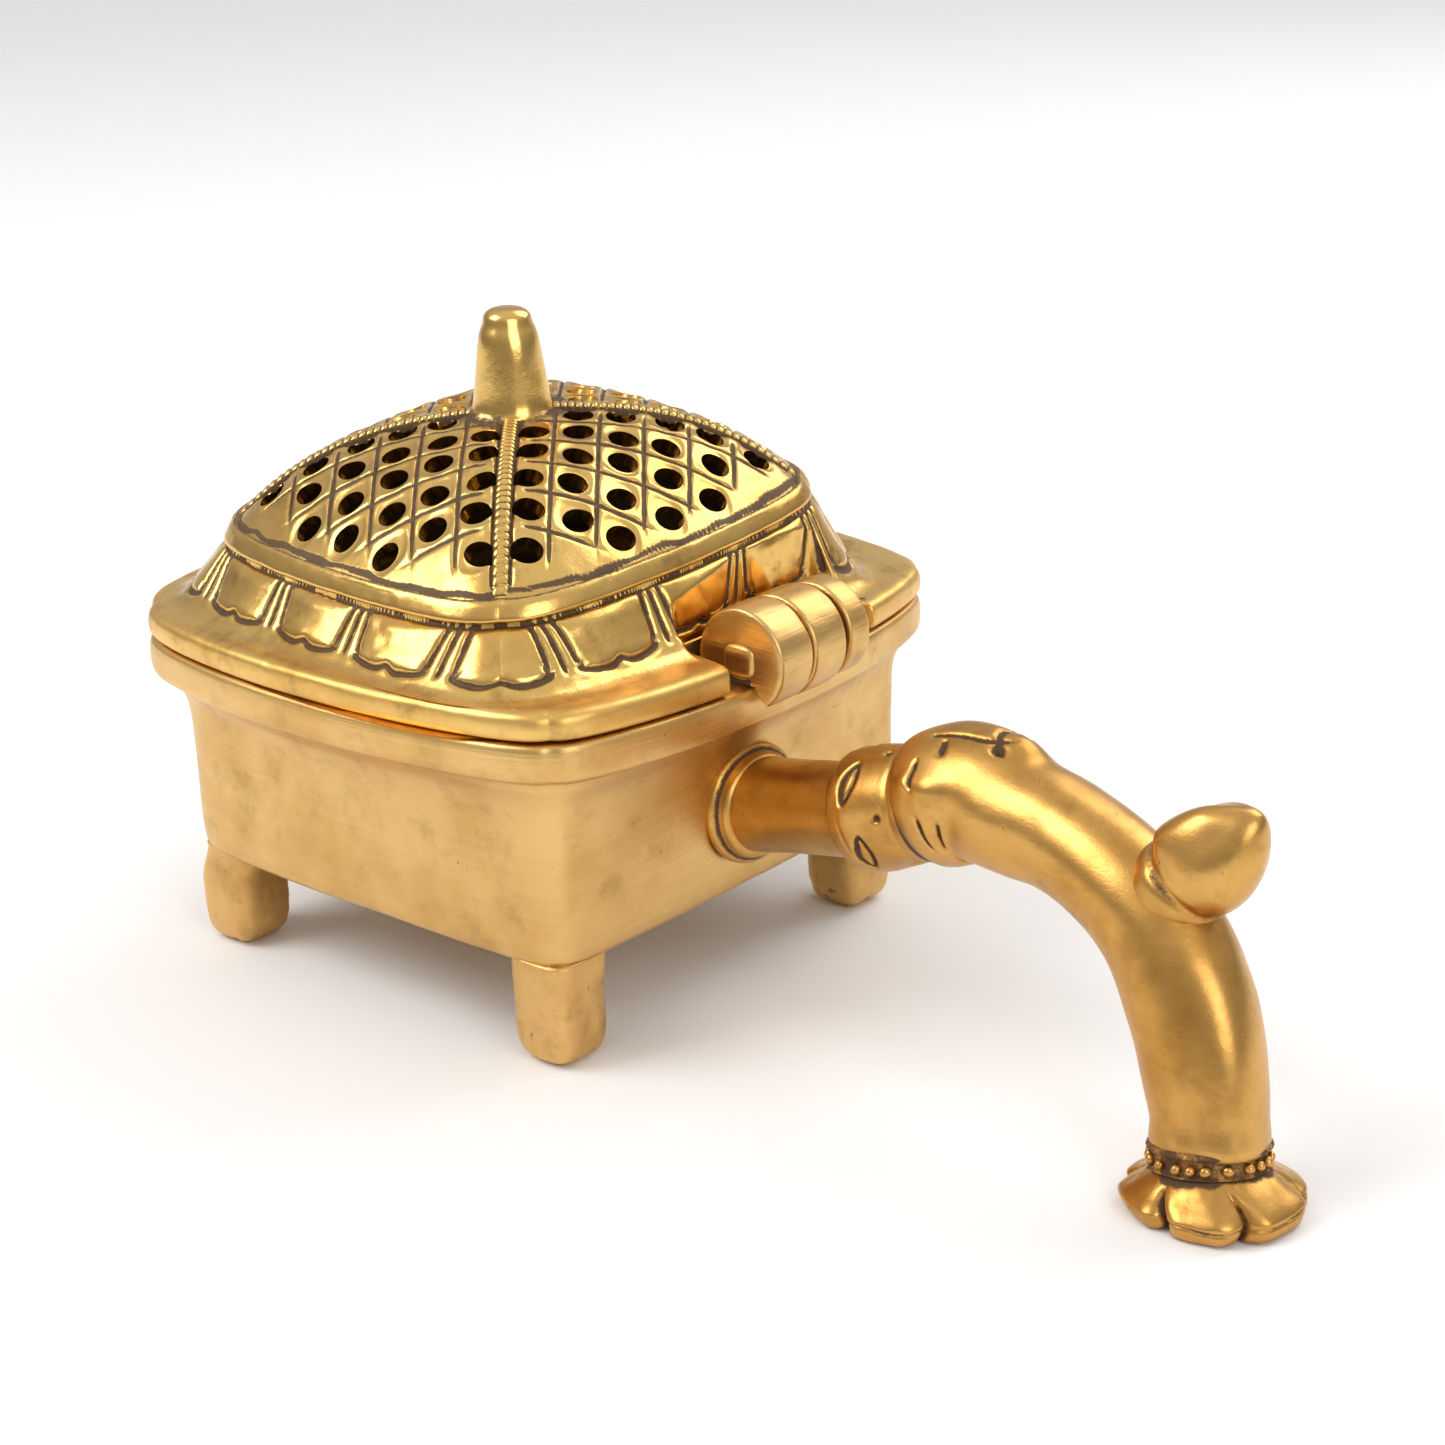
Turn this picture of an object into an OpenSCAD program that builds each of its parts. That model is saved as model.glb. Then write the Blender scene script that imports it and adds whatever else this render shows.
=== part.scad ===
// Hand-held cast brass incense burner: a cushion-shaped ember box on four feet, a perforated domed lid on
// a pinned hinge, and a curved handle that ends in its own foot. Millimetres, +Z up, +X out along the
// handle, origin under the middle of the whole burner on the surface that it stands on. Each part is drawn
// about the middle of the ember box, and placed() then moves it along -X.

/* [Box] */
// Half width of the rim, measured at its corners
rim_half = 46; // [43:0.5:50]
// How far each side of the rim bows out beyond its corners
rim_bow = 8; // [6:0.5:8.5]
// Half width of the box walls
wall_half = 42.9; // [40:0.1:43.2]
// Height of the feet
foot_h = 17; // [13:0.5:20]
// Height of the rim's top face
rim_z = 55.4; // [52:0.2:60]
// Thickness of the rim's edge
rim_t = 6; // [4:0.5:8]
// Thickness of the cast wall and floor
wall_t = 3.2; // [2.4:0.2:4]
// Corner radius on the side away from the handle
free_corner_r = 9.5; // [7:0.5:13]
// Corner radius on the handle side
hinge_corner_r = 4.5; // [3:0.5:7]

/* [Lid] */
// Thickness of the lid's flat flange
flange_t = 4.5; // [3:0.5:6]
// Gap between the closed lid and the rim
lid_gap = 0.3; // [0.2:0.1:1]
// Height of the dome's crown above the flange
dome_h = 29.7; // [27:0.1:32]
// How far the cast dome sits off the middle of its flange, along -Y
dome_shift = 2.8; // [0:0.1:3.5]
// Angle that the cast dome is turned on its flange, clockwise from above
dome_turn = 5; // [0:0.5:6]
// Rise of the dome's shoulder across the lid, for each millimetre along +Y
dome_tilt = 0.08; // [0:0.005:0.1]
// Diameter of the smoke holes
hole_d = 4.6; // [3.6:0.2:5.2]
// Spacing of the diamond lattice that the smoke holes follow
lattice = 7; // [6.8:0.1:7.4]
// Height of the finial above the crown
finial_h = 16.4; // [14:0.2:22]

/* [Hinge] */
// Radius of the hinge knuckles
knuckle_r = 8.2; // [7:0.1:8.6]
// Radius of the hinge pin
pin_r = 3.1; // [2:0.1:3.6]
// Running clearance between the pin and the lid's knuckle
pin_clear = 0.06; // [0.03:0.01:0.1]
// Where the first knuckle starts, along Y
hinge_y = -9; // [-12:0.5:-6]

/* [Handle] */
// Radius of the plain neck
neck_r = 7.4; // [6:0.1:8]
// Angle that the handle leans over, turned about its stud
lean = 8; // [0:1:12]
// Angle that the handle swings to one side, seen from above
swing = 7; // [0:1:9]
// Radius of the stud that holds the handle to the wall
stud_r = 3; // [2.5:0.5:4]

/* [Hidden] */
$fn = 48;

brass = [0.80, 0.60, 0.32];
polished = [0.84, 0.68, 0.30];
rough = [0.66, 0.46, 0.24];

// From the middle of the ember box to the middle of the whole burner, along X
mid_x = 49.1;
module placed() { translate([-mid_x, 0, 0]) children(); }

// Cushion outline
side_steps = 8;
corner_steps = 4;
floor_z = foot_h + wall_t;

// Hinge
hinge_x = rim_half + 5;
hinge_z = rim_z + 4;
near_w = 8;
lid_w = 8;
far_w = 5;
tight_gap = 0.4;
loose_gap = 1.2;
lid_knuckle_y = hinge_y + near_w + tight_gap;
far_y = lid_knuckle_y + lid_w + loose_gap;
pin_end_y = far_y + far_w;
seat_x = rim_half + rim_bow + 0.1;
notch_x = 42;

// Lid
flange_z = rim_z + lid_gap;
lid_top_z = flange_z + flange_t;
crown_z = lid_top_z + dome_h;
tenon_r = 2.5;

// Handle
stud_z = 32;
root_x = wall_half + 1.7;
root_len = 3.6;
root_r = neck_r + 2.6;
neck_tilt = 12.7;
neck_len = 23;
collar_tilt = 21;
collar_len = 14.5;
ring_points = 20;

function blend(a, b, t) = a + (b - a) * t;

// ---- cushion-shaped rings -------------------------------------------------------------------------
// A square of half width c whose sides bow out by b, with its corners rounded to about r.
function side_at(c, b, s) = c + b * (1 - pow(s / c, 2));
function corner_arc(c, b, r) =
    let (s = c - r, o = side_at(c, b, s), a = atan(2 * b * s / (c * c)),
         big = (o - s) / (cos(a) - sin(a)), m = o - big * cos(a))
    [for (i = [1 : corner_steps - 1]) let (t = a + (90 - 2 * a) * i / corner_steps)
        [m + big * cos(t), m + big * sin(t)]];
function turned(points, a) =
    [for (p = points) [p[0] * cos(a) - p[1] * sin(a), p[0] * sin(a) + p[1] * cos(a)]];
function corner_r(k, rh, rf) = (k == 0 || k == 3) ? rh : rf;
function cushion(c, b, rh, rf) =
    [for (k = [0 : 3])
        let (s0 = -(c - corner_r((k + 3) % 4, rh, rf)), s1 = c - corner_r(k, rh, rf),
             side = [for (i = [0 : side_steps]) let (s = blend(s0, s1, i / side_steps)) [side_at(c, b, s), s]])
        each turned(concat(side, corner_arc(c, b, corner_r(k, rh, rf))), 90 * k)];
function at_height(points, z) = [for (p = points) [p[0], p[1], z]];

// Skins a list of rings, each with the same number of points running anticlockwise from below upwards.
module skin(rings) {
    n = len(rings[0]);
    last = len(rings) - 1;
    polyhedron(
        points = [for (r = rings) each r],
        faces = concat(
            [[for (i = [0 : n - 1]) i]],
            [for (k = [0 : last - 1], i = [0 : n - 1]) let (j = (i + 1) % n)
                each [[k * n + i, (k + 1) * n + i, k * n + j], [k * n + j, (k + 1) * n + i, (k + 1) * n + j]]],
            [[for (i = [n - 1 : -1 : 0]) last * n + i]]));
}

// ---- box ------------------------------------------------------------------------------------------
// Each step is [height, half width, bow].
box_outside = [
    [foot_h, wall_half - 0.8, 0.9], [foot_h + 1.2, wall_half, 1], [rim_z - 20, wall_half + 0.4, 1.2],
    [rim_z - 12, wall_half + 0.6, 2.6], [rim_z - 8.5, wall_half + 1.3, 4.8],
    [rim_z - rim_t, rim_half - 0.6, rim_bow - 0.3], [rim_z - rim_t + 0.6, rim_half, rim_bow],
    [rim_z - 0.6, rim_half, rim_bow], [rim_z, rim_half - 0.5, rim_bow]];
box_inside = [
    [floor_z, wall_half - wall_t - 1.5, 0.8], [floor_z + 2, wall_half - wall_t, 1],
    [rim_z - 12, wall_half - wall_t + 0.2, 1.2], [rim_z + 1, wall_half - wall_t + 0.4, 1.8]];

module cushion_solid(steps, inset) {
    skin([for (s = steps) at_height(cushion(s[1], s[2], hinge_corner_r, free_corner_r - inset), s[0])]);
}

module along_y(y0, length) { translate([hinge_x, y0, hinge_z]) rotate([-90, 0, 0]) linear_extrude(length) children(); }

module box_shell() {
    placed() color(brass) difference() {
        cushion_solid(box_outside, 0);
        cushion_solid(box_inside, wall_t);
        along_y(lid_knuckle_y - tight_gap, lid_w + 2 * tight_gap) circle(knuckle_r + 0.4);
        translate([root_x - 12, 0, stud_z]) rotate([0, 90, 0]) cylinder(h = 20, r = stud_r);
        translate([root_x, 0, stud_z]) rotate([0, 90, 0]) cylinder(h = 10, r = root_r + 0.2);
    }
}

// A cast foot: a rounded post flush with the walls' corner, worn round above a flat sole.
sole_lift = 0.3;
module foot_post(size, r) {
    cylinder(h = 1.5, r = size / 2 - 1.9);
    hull() {
        translate([0, 0, foot_h - 0.1]) linear_extrude(0.1) rounded_square(size, r);
        translate([0, 0, 2.2]) linear_extrude(0.1) rounded_square(size - 0.8, r);
        translate([0, 0, sole_lift]) linear_extrude(0.1) rounded_square(size - 3.4, r - 1.2);
    }
}
module rounded_square(size, r) {
    offset(r, $fn = 24) square(size - 2 * r, center = true);
}
foot_size = 11.8;
module foot_at(side_x, side_y, r, tuck) {
    inset = wall_half - tuck - foot_size / 2;
    placed() color(rough) translate([side_x * inset, side_y * inset, 0]) foot_post(foot_size, r);
}
module foot_free_near() { foot_at(-1, -1, 5, 1); }
module foot_free_far() { foot_at(-1, 1, 5, 1); }
module foot_hinge_near() { foot_at(1, -1, 4.6, 0.3); }
module foot_hinge_far() { foot_at(1, 1, 4.6, 0.3); }

// ---- hinge ----------------------------------------------------------------------------------------
// A lug stands on the rim, and its round outer side laps the rim's edge.
module lug(y0, width, r) {
    placed() color(brass) difference() {
        along_y(y0, width) union() {
            circle(r);
            translate([-r, 0]) square([seat_x - hinge_x + r, hinge_z - rim_z]);
        }
        translate([hinge_x, y0 - 1, hinge_z]) rotate([-90, 0, 0]) cylinder(h = width + 2, r = pin_r);
        translate([seat_x - 30, y0 - 1, rim_z - 20]) cube([30, width + 2, 20]);
    }
}
module hinge_lug_near() { lug(hinge_y, near_w, knuckle_r); }
module hinge_lug_far() { lug(far_y, far_w, knuckle_r - 0.3); }

// Both ends of the pin are peened over.
module hinge_pin() {
    placed() color(brass) translate([hinge_x, 0, hinge_z]) rotate([-90, 0, 0]) {
        translate([0, 0, hinge_y]) cylinder(h = pin_end_y - hinge_y, r = pin_r);
        translate([0, 0, hinge_y - 0.9]) cylinder(h = 0.9, r1 = pin_r + 0.2, r2 = pin_r + 0.8);
        translate([0, 0, pin_end_y]) cylinder(h = 0.9, r1 = pin_r + 0.8, r2 = pin_r + 0.2);
    }
}

web_low = flange_z + 0.4;
web_high = lid_top_z + 1.6;
module lid_knuckle() {
    placed() color(brass) difference() {
        union() {
            along_y(lid_knuckle_y, lid_w) circle(knuckle_r);
            translate([notch_x, lid_knuckle_y, web_low]) cube([hinge_x - notch_x, lid_w, web_high - web_low]);
        }
        translate([hinge_x, lid_knuckle_y - 1, hinge_z]) rotate([-90, 0, 0])
            cylinder(h = lid_w + 2, r = pin_r + pin_clear);
    }
}

// ---- lid ------------------------------------------------------------------------------------------
// Each step is [height above the flange's top, half width, bow]: skirt, shoulder, then dome.
dome_outside = [
    [0, 42, 4.4], [1.4, 41.2, 4.4], [6.5, 38.1, 4.6], [11, 36.2, 4.7], [12.2, 35.8, 4.7], [15.2, 34.6, 4.6],
    [17.5, 32, 4.3], [21.4, 28, 3.7], [24.9, 23, 3.1], [27.6, 17, 2.2], [29.05, 11, 1.3], [29.5, 7, 0.7],
    [29.7, 4.4, 0.3]];
shell_t = 2.8;
function inner_step(s) = [s[0] - shell_t * 0.9, s[1] - shell_t * 0.75, max(s[2] - 1.2, 0.2)];
dome_inside = [for (i = [2 : len(dome_outside) - 2]) inner_step(dome_outside[i])];
// The tilt grows from nothing at the flange to its full amount at the shoulder.
function seated(points, h) =
    [for (p = turned(points, -dome_turn))
        [p[0], p[1] - dome_shift, lid_top_z + h + dome_tilt * p[1] * min(1, max(0, h) / 11)]];
function dome_ring(s, r) =
    seated(cushion(s[1], s[2], min(r, s[1] * 0.22), min(r, s[1] * 0.22)), s[0] * dome_h / 29.7);

module flange() {
    skin([for (s = [[0, 0.6], [0.6, 0], [flange_t - 1.2, 0], [flange_t - 0.3, 0.5], [flange_t, 1.4]])
        at_height(cushion(rim_half - s[1], rim_bow, hinge_corner_r, free_corner_r), flange_z + s[0])]);
}
module dome() { skin([for (s = dome_outside) dome_ring(s, 7)]); }
module dome_hollow() {
    mouth = dome_inside[0];
    skin(concat([seated(cushion(mouth[1] + 0.4, mouth[2], 6, 6), -flange_t - 1)],
                [for (s = dome_inside) dome_ring(s, 6)]));
}

// Smoke holes sit in the cells of a lattice laid along the dome's diagonals.
last_cell = 5;
function cell_used(i, j) = (i + j >= 1 && i + j <= last_cell) || (i + j == last_cell + 1 && abs(i - j) <= 2);
module smoke_holes() {
    for (face = [0 : 3], i = [0 : last_cell], j = [0 : last_cell])
        if (cell_used(i, j))
            translate([0, -dome_shift, 0]) rotate([0, 0, 90 * face + 45 - dome_turn])
                translate([(i + 0.5) * lattice, -(j + 0.5) * lattice, dome_z(i, j)])
                    rotate([0, 0, -45]) rotate([0, 14 + 4 * (i + j), 0]) cylinder(h = 14, r = hole_d / 2, center = true);
}
// Rough height of the dome's surface over a cell, falling away from the crown.
function dome_z(i, j) = crown_z - 3 - 2.4 * (i + j) * (i + j + 4) / 11;

notch_y0 = -13;
notch_y1 = 24;
module lid_shell() {
    placed() color(polished) difference() {
        union() {
            flange();
            translate([0, 0, -0.5]) skin([dome_ring(dome_outside[0], 7), dome_ring([0.6, 41.8, 4.4], 7)]);
            dome();
        }
        dome_hollow();
        smoke_holes();
        translate([0, -dome_shift, crown_z - 8]) cylinder(h = 10, r = tenon_r);
        translate([0, -dome_shift, crown_z]) cylinder(h = 2, r = 8);
        hull() {
            translate([notch_x + 4, notch_y0 + 4, flange_z - 1]) cylinder(h = 16, r = 4);
            translate([notch_x + 4, notch_y1 - 4, flange_z - 1]) cylinder(h = 16, r = 4);
            translate([notch_x + 20, notch_y0, flange_z - 1]) cube([1, notch_y1 - notch_y0, 16]);
        }
    }
}

module finial() {
    placed() color(polished) translate([0, -dome_shift, 0]) rotate_extrude()
        polygon([[0, crown_z - 4.6], [3.6, crown_z - 4.6], [3.6, crown_z - 3.6], [tenon_r, crown_z - 3.6],
                 [tenon_r, crown_z], [6.6, crown_z], [6.8, crown_z + 0.8], [6.3, crown_z + 2.2],
                 [4.1, crown_z + finial_h - 3], [3.7, crown_z + finial_h - 1.4], [2.6, crown_z + finial_h - 0.4],
                 [0, crown_z + finial_h]]);
}

// ---- handle ---------------------------------------------------------------------------------------
// The handle is drawn in the XZ plane, then leans over and swings round about the end of its root.
module leaned() {
    translate([root_x, 0, stud_z]) rotate([0, 0, -swing]) rotate([-lean, 0, 0]) translate([-root_x, 0, -stud_z])
        children();
}
module lathe(x, z, tilt) { translate([x, 0, z]) rotate([0, 90 - tilt, 0]) rotate_extrude() children(); }

neck_x = root_x + root_len - 1;
neck_z = stud_z + 0.3;
collar_x = neck_x + neck_len * cos(neck_tilt);
collar_z = neck_z + neck_len * sin(neck_tilt);
arm_x = collar_x + collar_len * cos(collar_tilt);
arm_z = collar_z + collar_len * sin(collar_tilt);

// Washer-like root that stands against the wall, then a smaller step.
module handle_root() {
    placed() color(brass) difference() {
        translate([root_x, 0, stud_z]) rotate([0, 90, 0]) union() {
            cylinder(h = 1.8, r1 = root_r, r2 = root_r - 0.2);
            cylinder(h = root_len, r = neck_r + 1.2);
        }
        neck_solid();
        stud_solid();
    }
}
module neck_solid() { leaned() lathe(neck_x, neck_z, neck_tilt) square([neck_r, neck_len + 2]); }
module stud_solid() { translate([root_x - 11, 0, stud_z]) rotate([0, 90, 0]) cylinder(h = 24, r = stud_r); }
module handle_neck() {
    placed() color(brass) difference() {
        neck_solid();
        stud_solid();
    }
}
module collar_solid() {
    lathe(collar_x, collar_z, collar_tilt)
        polygon([[0, 0], [neck_r + 0.9, 0], [neck_r + 1.9, 1.2], [neck_r + 2.2, 4], [neck_r + 1.8, 8],
                 [neck_r + 1.5, collar_len - 2.5], [neck_r + 1, collar_len - 1.2], [neck_r + 1.2, collar_len],
                 [0, collar_len]]);
}
module handle_collar() {
    placed() color(brass) difference() {
        leaned() collar_solid();
        neck_solid();
    }
}

// Route of the arm: [x, z, radius]. It starts at the collar, swells into the knot, arches over and comes down.
route = [
    [arm_x, arm_z, 9], [arm_x + 3.2, arm_z + 1.7, 10.2], [arm_x + 8, arm_z + 3.4, 10.3], [99.5, 44.9, 9.1],
    [110.8, 43.5, 8.4], [120.6, 40, 8.6], [126.3, 36, 8.8], [130.5, 31, 8.9], [134.2, 25, 8.9],
    [136.5, 19, 8.7], [138.4, 12.5, 8.2], [139, 8.1, 8]];
route_steps = 4;
function spline(p0, p1, p2, p3, t) =
    0.5 * (2 * p1 + (p2 - p0) * t + (2 * p0 - 5 * p1 + 4 * p2 - p3) * t * t
           + (3 * p1 - p0 - 3 * p2 + p3) * t * t * t);
function route_at(k, t) =
    let (n = len(route) - 1)
    spline(route[max(k - 1, 0)], route[k], route[min(k + 1, n)], route[min(k + 2, n)], t);
smooth_route = concat(
    [for (k = [0 : len(route) - 2], i = [0 : route_steps - 1]) route_at(k, i / route_steps)],
    [route[len(route) - 1]]);
function heading(k) =
    let (a = smooth_route[max(k - 1, 0)], b = smooth_route[min(k + 1, len(smooth_route) - 1)])
    k == 0 ? collar_tilt : atan2(b[1] - a[1], b[0] - a[0]);
// One ring of points square to a heading in the XZ plane.
function tube_ring(x, z, r, tilt) =
    [for (i = [0 : ring_points - 1]) let (a = -360 * i / ring_points)
        [x - r * sin(a) * sin(tilt), r * cos(a), z + r * sin(a) * cos(tilt)]];
module arm_solid() {
    skin([for (k = [0 : len(smooth_route) - 1]) let (p = smooth_route[k]) tube_ring(p[0], p[1], p[2], heading(k))]);
}
module handle_arm() {
    placed() color(brass) leaned() arm_solid();
}

// Pointed bud on the outside of the bend, for the thumb.
bud_x = 125.8;
bud_z = 39.6;
bud_tilt = 49;
module thumb_bud() {
    placed() color(brass) leaned() lathe(bud_x, bud_z, bud_tilt)
        polygon([[0, 0], [6.2, 0], [7, 3], [7.4, 7], [7.2, 11], [6.2, 15], [4.6, 18], [2.4, 20.5], [0.8, 21.6],
                 [0, 21.8]]);
}

ankle_tilt = -80;
ankle_x = 139;
ankle_z = 8.1;
module ankle_band() {
    placed() color(brass) leaned() lathe(ankle_x, ankle_z, ankle_tilt)
        polygon([[0, 0], [8.4, 0], [8.8, 0.6], [8.8, 1.9], [8.4, 2.5], [0, 2.5]]);
}

// The foot flares from the ankle into lobed toes, with its sole flat on the surface.
toes = 6;
function leaned_point(x, z) =
    let (u = x - root_x, v = -(stud_z - z) * sin(lean))
    [root_x + u * cos(swing) + v * sin(swing), v * cos(swing) - u * sin(swing), stud_z - (stud_z - z) * cos(lean)];
ankle_end = leaned_point(ankle_x + 2.5 * cos(ankle_tilt), ankle_z + 2.5 * sin(ankle_tilt));
sole = [139.7, -14.6, 0];
function toe_r(r, a, depth) = r * (1 + depth * (abs(sin(a * toes / 2)) - 0.6));
// Rings turn from the ankle's slope to level as t goes from 0 to 1.
function foot_ring(t, r, depth, drop) =
    let (c = blend(ankle_end, sole, t), tip = (90 + ankle_tilt) * (1 - t), side = -lean * (1 - t))
    [for (i = [0 : 47]) let (a = 360 * i / 48, q = toe_r(r, a, depth), x = q * cos(a), y = q * sin(a))
        [c[0] + x * cos(tip), c[1] + y * cos(side), max(drop, c[2] - x * sin(-tip) + y * sin(side))]];
module handle_foot() {
    placed() color(brass) {
        translate(sole) cylinder(h = 1.5, r = 9);
        skin([
            foot_ring(1, 11.2, 0.16, sole_lift), foot_ring(0.86, 13, 0.16, 0.7), foot_ring(0.62, 13.4, 0.14, 1.4),
            foot_ring(0.4, 12, 0.1, 2), foot_ring(0.2, 10, 0.05, 2.4), foot_ring(0, 8.6, 0, 2.6)]);
    }
}

// ---- handle fastening, inside the box --------------------------------------------------------------
inner_x = wall_half - wall_t + 1;
washer_t = 1.2;
nut_t = 4;
module handle_stud() {
    placed() color(rough) stud_solid();
}
module handle_washer() {
    placed() color(rough) translate([inner_x - washer_t, 0, stud_z]) rotate([0, 90, 0]) difference() {
        cylinder(h = washer_t, r = 6.5);
        translate([0, 0, -1]) cylinder(h = washer_t + 2, r = stud_r);
    }
}
module handle_nut() {
    placed() color(rough) translate([inner_x - washer_t - nut_t, 0, stud_z]) rotate([0, 90, 0]) difference() {
        cylinder(h = nut_t, r = 5.8, $fn = 6);
        translate([0, 0, -1]) cylinder(h = nut_t + 2, r = stud_r);
    }
}

box_shell();
foot_free_near();
foot_free_far();
foot_hinge_near();
foot_hinge_far();
hinge_lug_near();
hinge_lug_far();
hinge_pin();
lid_shell();
lid_knuckle();
finial();
handle_root();
handle_neck();
handle_collar();
handle_arm();
thumb_bud();
ankle_band();
handle_foot();
handle_stud();
handle_washer();
handle_nut();
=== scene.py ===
"""A hand-held brass incense burner: its engraved lid, ground box, hinge and curved handle."""

import logging
from collections.abc import Callable
from dataclasses import dataclass, field
from enum import Enum
from math import atan2, cos, pi, radians, sin

import bpy
import numpy as np
from mathutils import Matrix, Vector


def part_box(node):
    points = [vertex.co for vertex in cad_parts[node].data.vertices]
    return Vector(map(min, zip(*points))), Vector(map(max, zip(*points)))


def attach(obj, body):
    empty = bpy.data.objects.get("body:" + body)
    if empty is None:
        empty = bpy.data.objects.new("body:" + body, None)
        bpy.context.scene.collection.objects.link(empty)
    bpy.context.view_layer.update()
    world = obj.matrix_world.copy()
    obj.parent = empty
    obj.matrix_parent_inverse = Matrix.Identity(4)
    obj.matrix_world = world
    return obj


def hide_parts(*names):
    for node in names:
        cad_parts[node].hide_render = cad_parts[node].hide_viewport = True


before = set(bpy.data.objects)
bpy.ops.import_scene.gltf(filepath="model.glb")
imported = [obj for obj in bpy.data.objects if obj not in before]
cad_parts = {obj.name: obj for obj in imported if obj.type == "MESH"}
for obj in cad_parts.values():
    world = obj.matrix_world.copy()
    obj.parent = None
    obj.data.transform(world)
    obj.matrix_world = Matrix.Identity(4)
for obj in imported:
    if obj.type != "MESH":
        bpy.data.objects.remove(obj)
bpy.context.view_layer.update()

log = logging.getLogger("burner")

# All shapes are worked out in millimetres from the foot of the ember box's middle, and stored in metres.
MM = 0.001
box_low, box_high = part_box("box_shell")
BASE = Vector(((box_low.x + box_high.x) / 2, (box_low.y + box_high.y) / 2, 0))
WELD = 1e-6
Grid = np.ndarray
Marks = dict[str, Grid]
Relief = Callable[[Grid, Grid, Grid], tuple[Grid, Grid]]


class Body(Enum):
    """The two bodies that the burner's pieces ride on."""

    BOX = "box"
    LID = "lid"


class Slot(Enum):
    """The record's material slots."""

    SATIN = "satin_brass"
    POLISHED = "polished_brass"
    HANDLE = "handle_brass"
    CAST = "cast_brass"
    STEEL = "fastener_steel"


# ---- small maths ---------------------------------------------------------------------------------


def mix(a: Grid | float, b: Grid | float, t: Grid | float) -> Grid | float:
    """Blends a into b as t goes from 0 to 1."""
    return a + (b - a) * t


def step(low: float, high: float, x: Grid) -> Grid:
    """Rises smoothly from 0 at low to 1 at high."""
    t = np.clip((x - low) / (high - low), 0, 1)
    return t * t * (3 - 2 * t)


def bump(x: Grid, width: float) -> Grid:
    """A soft ridge of height 1 at x = 0 that has died away a little past width."""
    return np.exp(-((x / width) ** 2))


def noise(p: Grid, size: float, seed: int) -> Grid:
    """Smooth random values from -1 to 1.

    Args:
        p: Points in millimetres, with x, y and z in the last axis.
        size: Distance over which the values change.
        seed: Chooses the pattern.

    Returns:
        One value for each point.
    """
    q = p / size + seed * 31.7
    cell = np.floor(q).astype(np.int64)
    f = q - cell
    f = f * f * (3 - 2 * f)
    total = np.zeros(p.shape[:-1])
    for corner in range(8):
        d = np.array([corner & 1, corner >> 1 & 1, corner >> 2 & 1])
        c = cell + d
        h = c[..., 0] * 374761393 + c[..., 1] * 668265263 + c[..., 2] * 974634777
        h = (h ^ (h >> 13)) * 1274126177
        value = ((h ^ (h >> 16)) & 0xFFFF) / 32767.5 - 1
        total += value * np.prod(np.where(d, f, 1 - f), axis=-1)
    return total


def curve(points: list[tuple[float, ...]]) -> Grid:
    """Runs a smooth curve through points.

    Args:
        points: Each point's values, with the number of steps to the next point last.

    Returns:
        One row of values for each step.
    """
    p = np.array(points, float)
    steps, p = p[:, -1].astype(int), p[:, :-1]
    out = []
    for k in range(len(p) - 1):
        a, b, c, d = p[max(k - 1, 0)], p[k], p[k + 1], p[min(k + 2, len(p) - 1)]
        t0, t1, t2 = (max(float(np.linalg.norm(v)), 1e-6) ** 0.5 for v in (b - a, c - b, d - c))
        m1 = (c - b) if k == 0 else t1 * ((b - a) / t0 - (c - a) / (t0 + t1) + (c - b) / t1)
        m2 = (c - b) if k == len(p) - 2 else t1 * ((c - b) / t1 - (d - b) / (t1 + t2) + (d - c) / t2)
        for i in range(steps[k]):
            t = i / steps[k]
            out.append(b * (2 * t**3 - 3 * t**2 + 1) + m1 * (t**3 - 2 * t**2 + t)
                       + c * (3 * t**2 - 2 * t**3) + m2 * (t**3 - t**2))
    out.append(p[-1])
    return np.array(out)


def square_angle(u: Grid) -> Grid:
    """Angle of each column, spaced evenly round a square, as u goes once from 0 to 1."""
    side = np.floor(u * 4)
    return side * pi / 2 + np.arctan((u * 4 - side) * 2 - 1)


# ---- mesh helpers --------------------------------------------------------------------------------


def corners(node: str) -> tuple[Vector, Vector]:
    """Lowest and highest corners of a CAD node, in millimetres from the foot of the box's middle."""
    low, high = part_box(node)
    return (low - BASE) / MM, (high - BASE) / MM


def nothing_selected() -> None:
    """Leaves object mode with nothing selected."""
    if bpy.context.object and bpy.context.object.mode != "OBJECT":
        bpy.ops.object.mode_set(mode="OBJECT")
    bpy.ops.object.select_all(action="DESELECT")


def only(piece: bpy.types.Object) -> None:
    """Selects one piece and makes it active."""
    nothing_selected()
    piece.select_set(True)
    bpy.context.view_layer.objects.active = piece


def mesh_cleaned(piece: bpy.types.Object, weld: bool = True) -> None:
    """Welds the seam and poles, and turns every face outwards."""
    only(piece)
    bpy.ops.object.mode_set(mode="EDIT")
    bpy.ops.mesh.select_all(action="SELECT")
    if weld:
        bpy.ops.mesh.remove_doubles(threshold=WELD)
        bpy.ops.mesh.dissolve_degenerate(threshold=WELD)
    bpy.ops.mesh.normals_make_consistent(inside=False)
    bpy.ops.object.mode_set(mode="OBJECT")


def smooth(piece: bpy.types.Object, angle: float = 40) -> None:
    """Shades a piece smooth, with edges past an angle left sharp."""
    only(piece)
    bpy.ops.object.shade_smooth_by_angle(angle=radians(angle))


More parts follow.
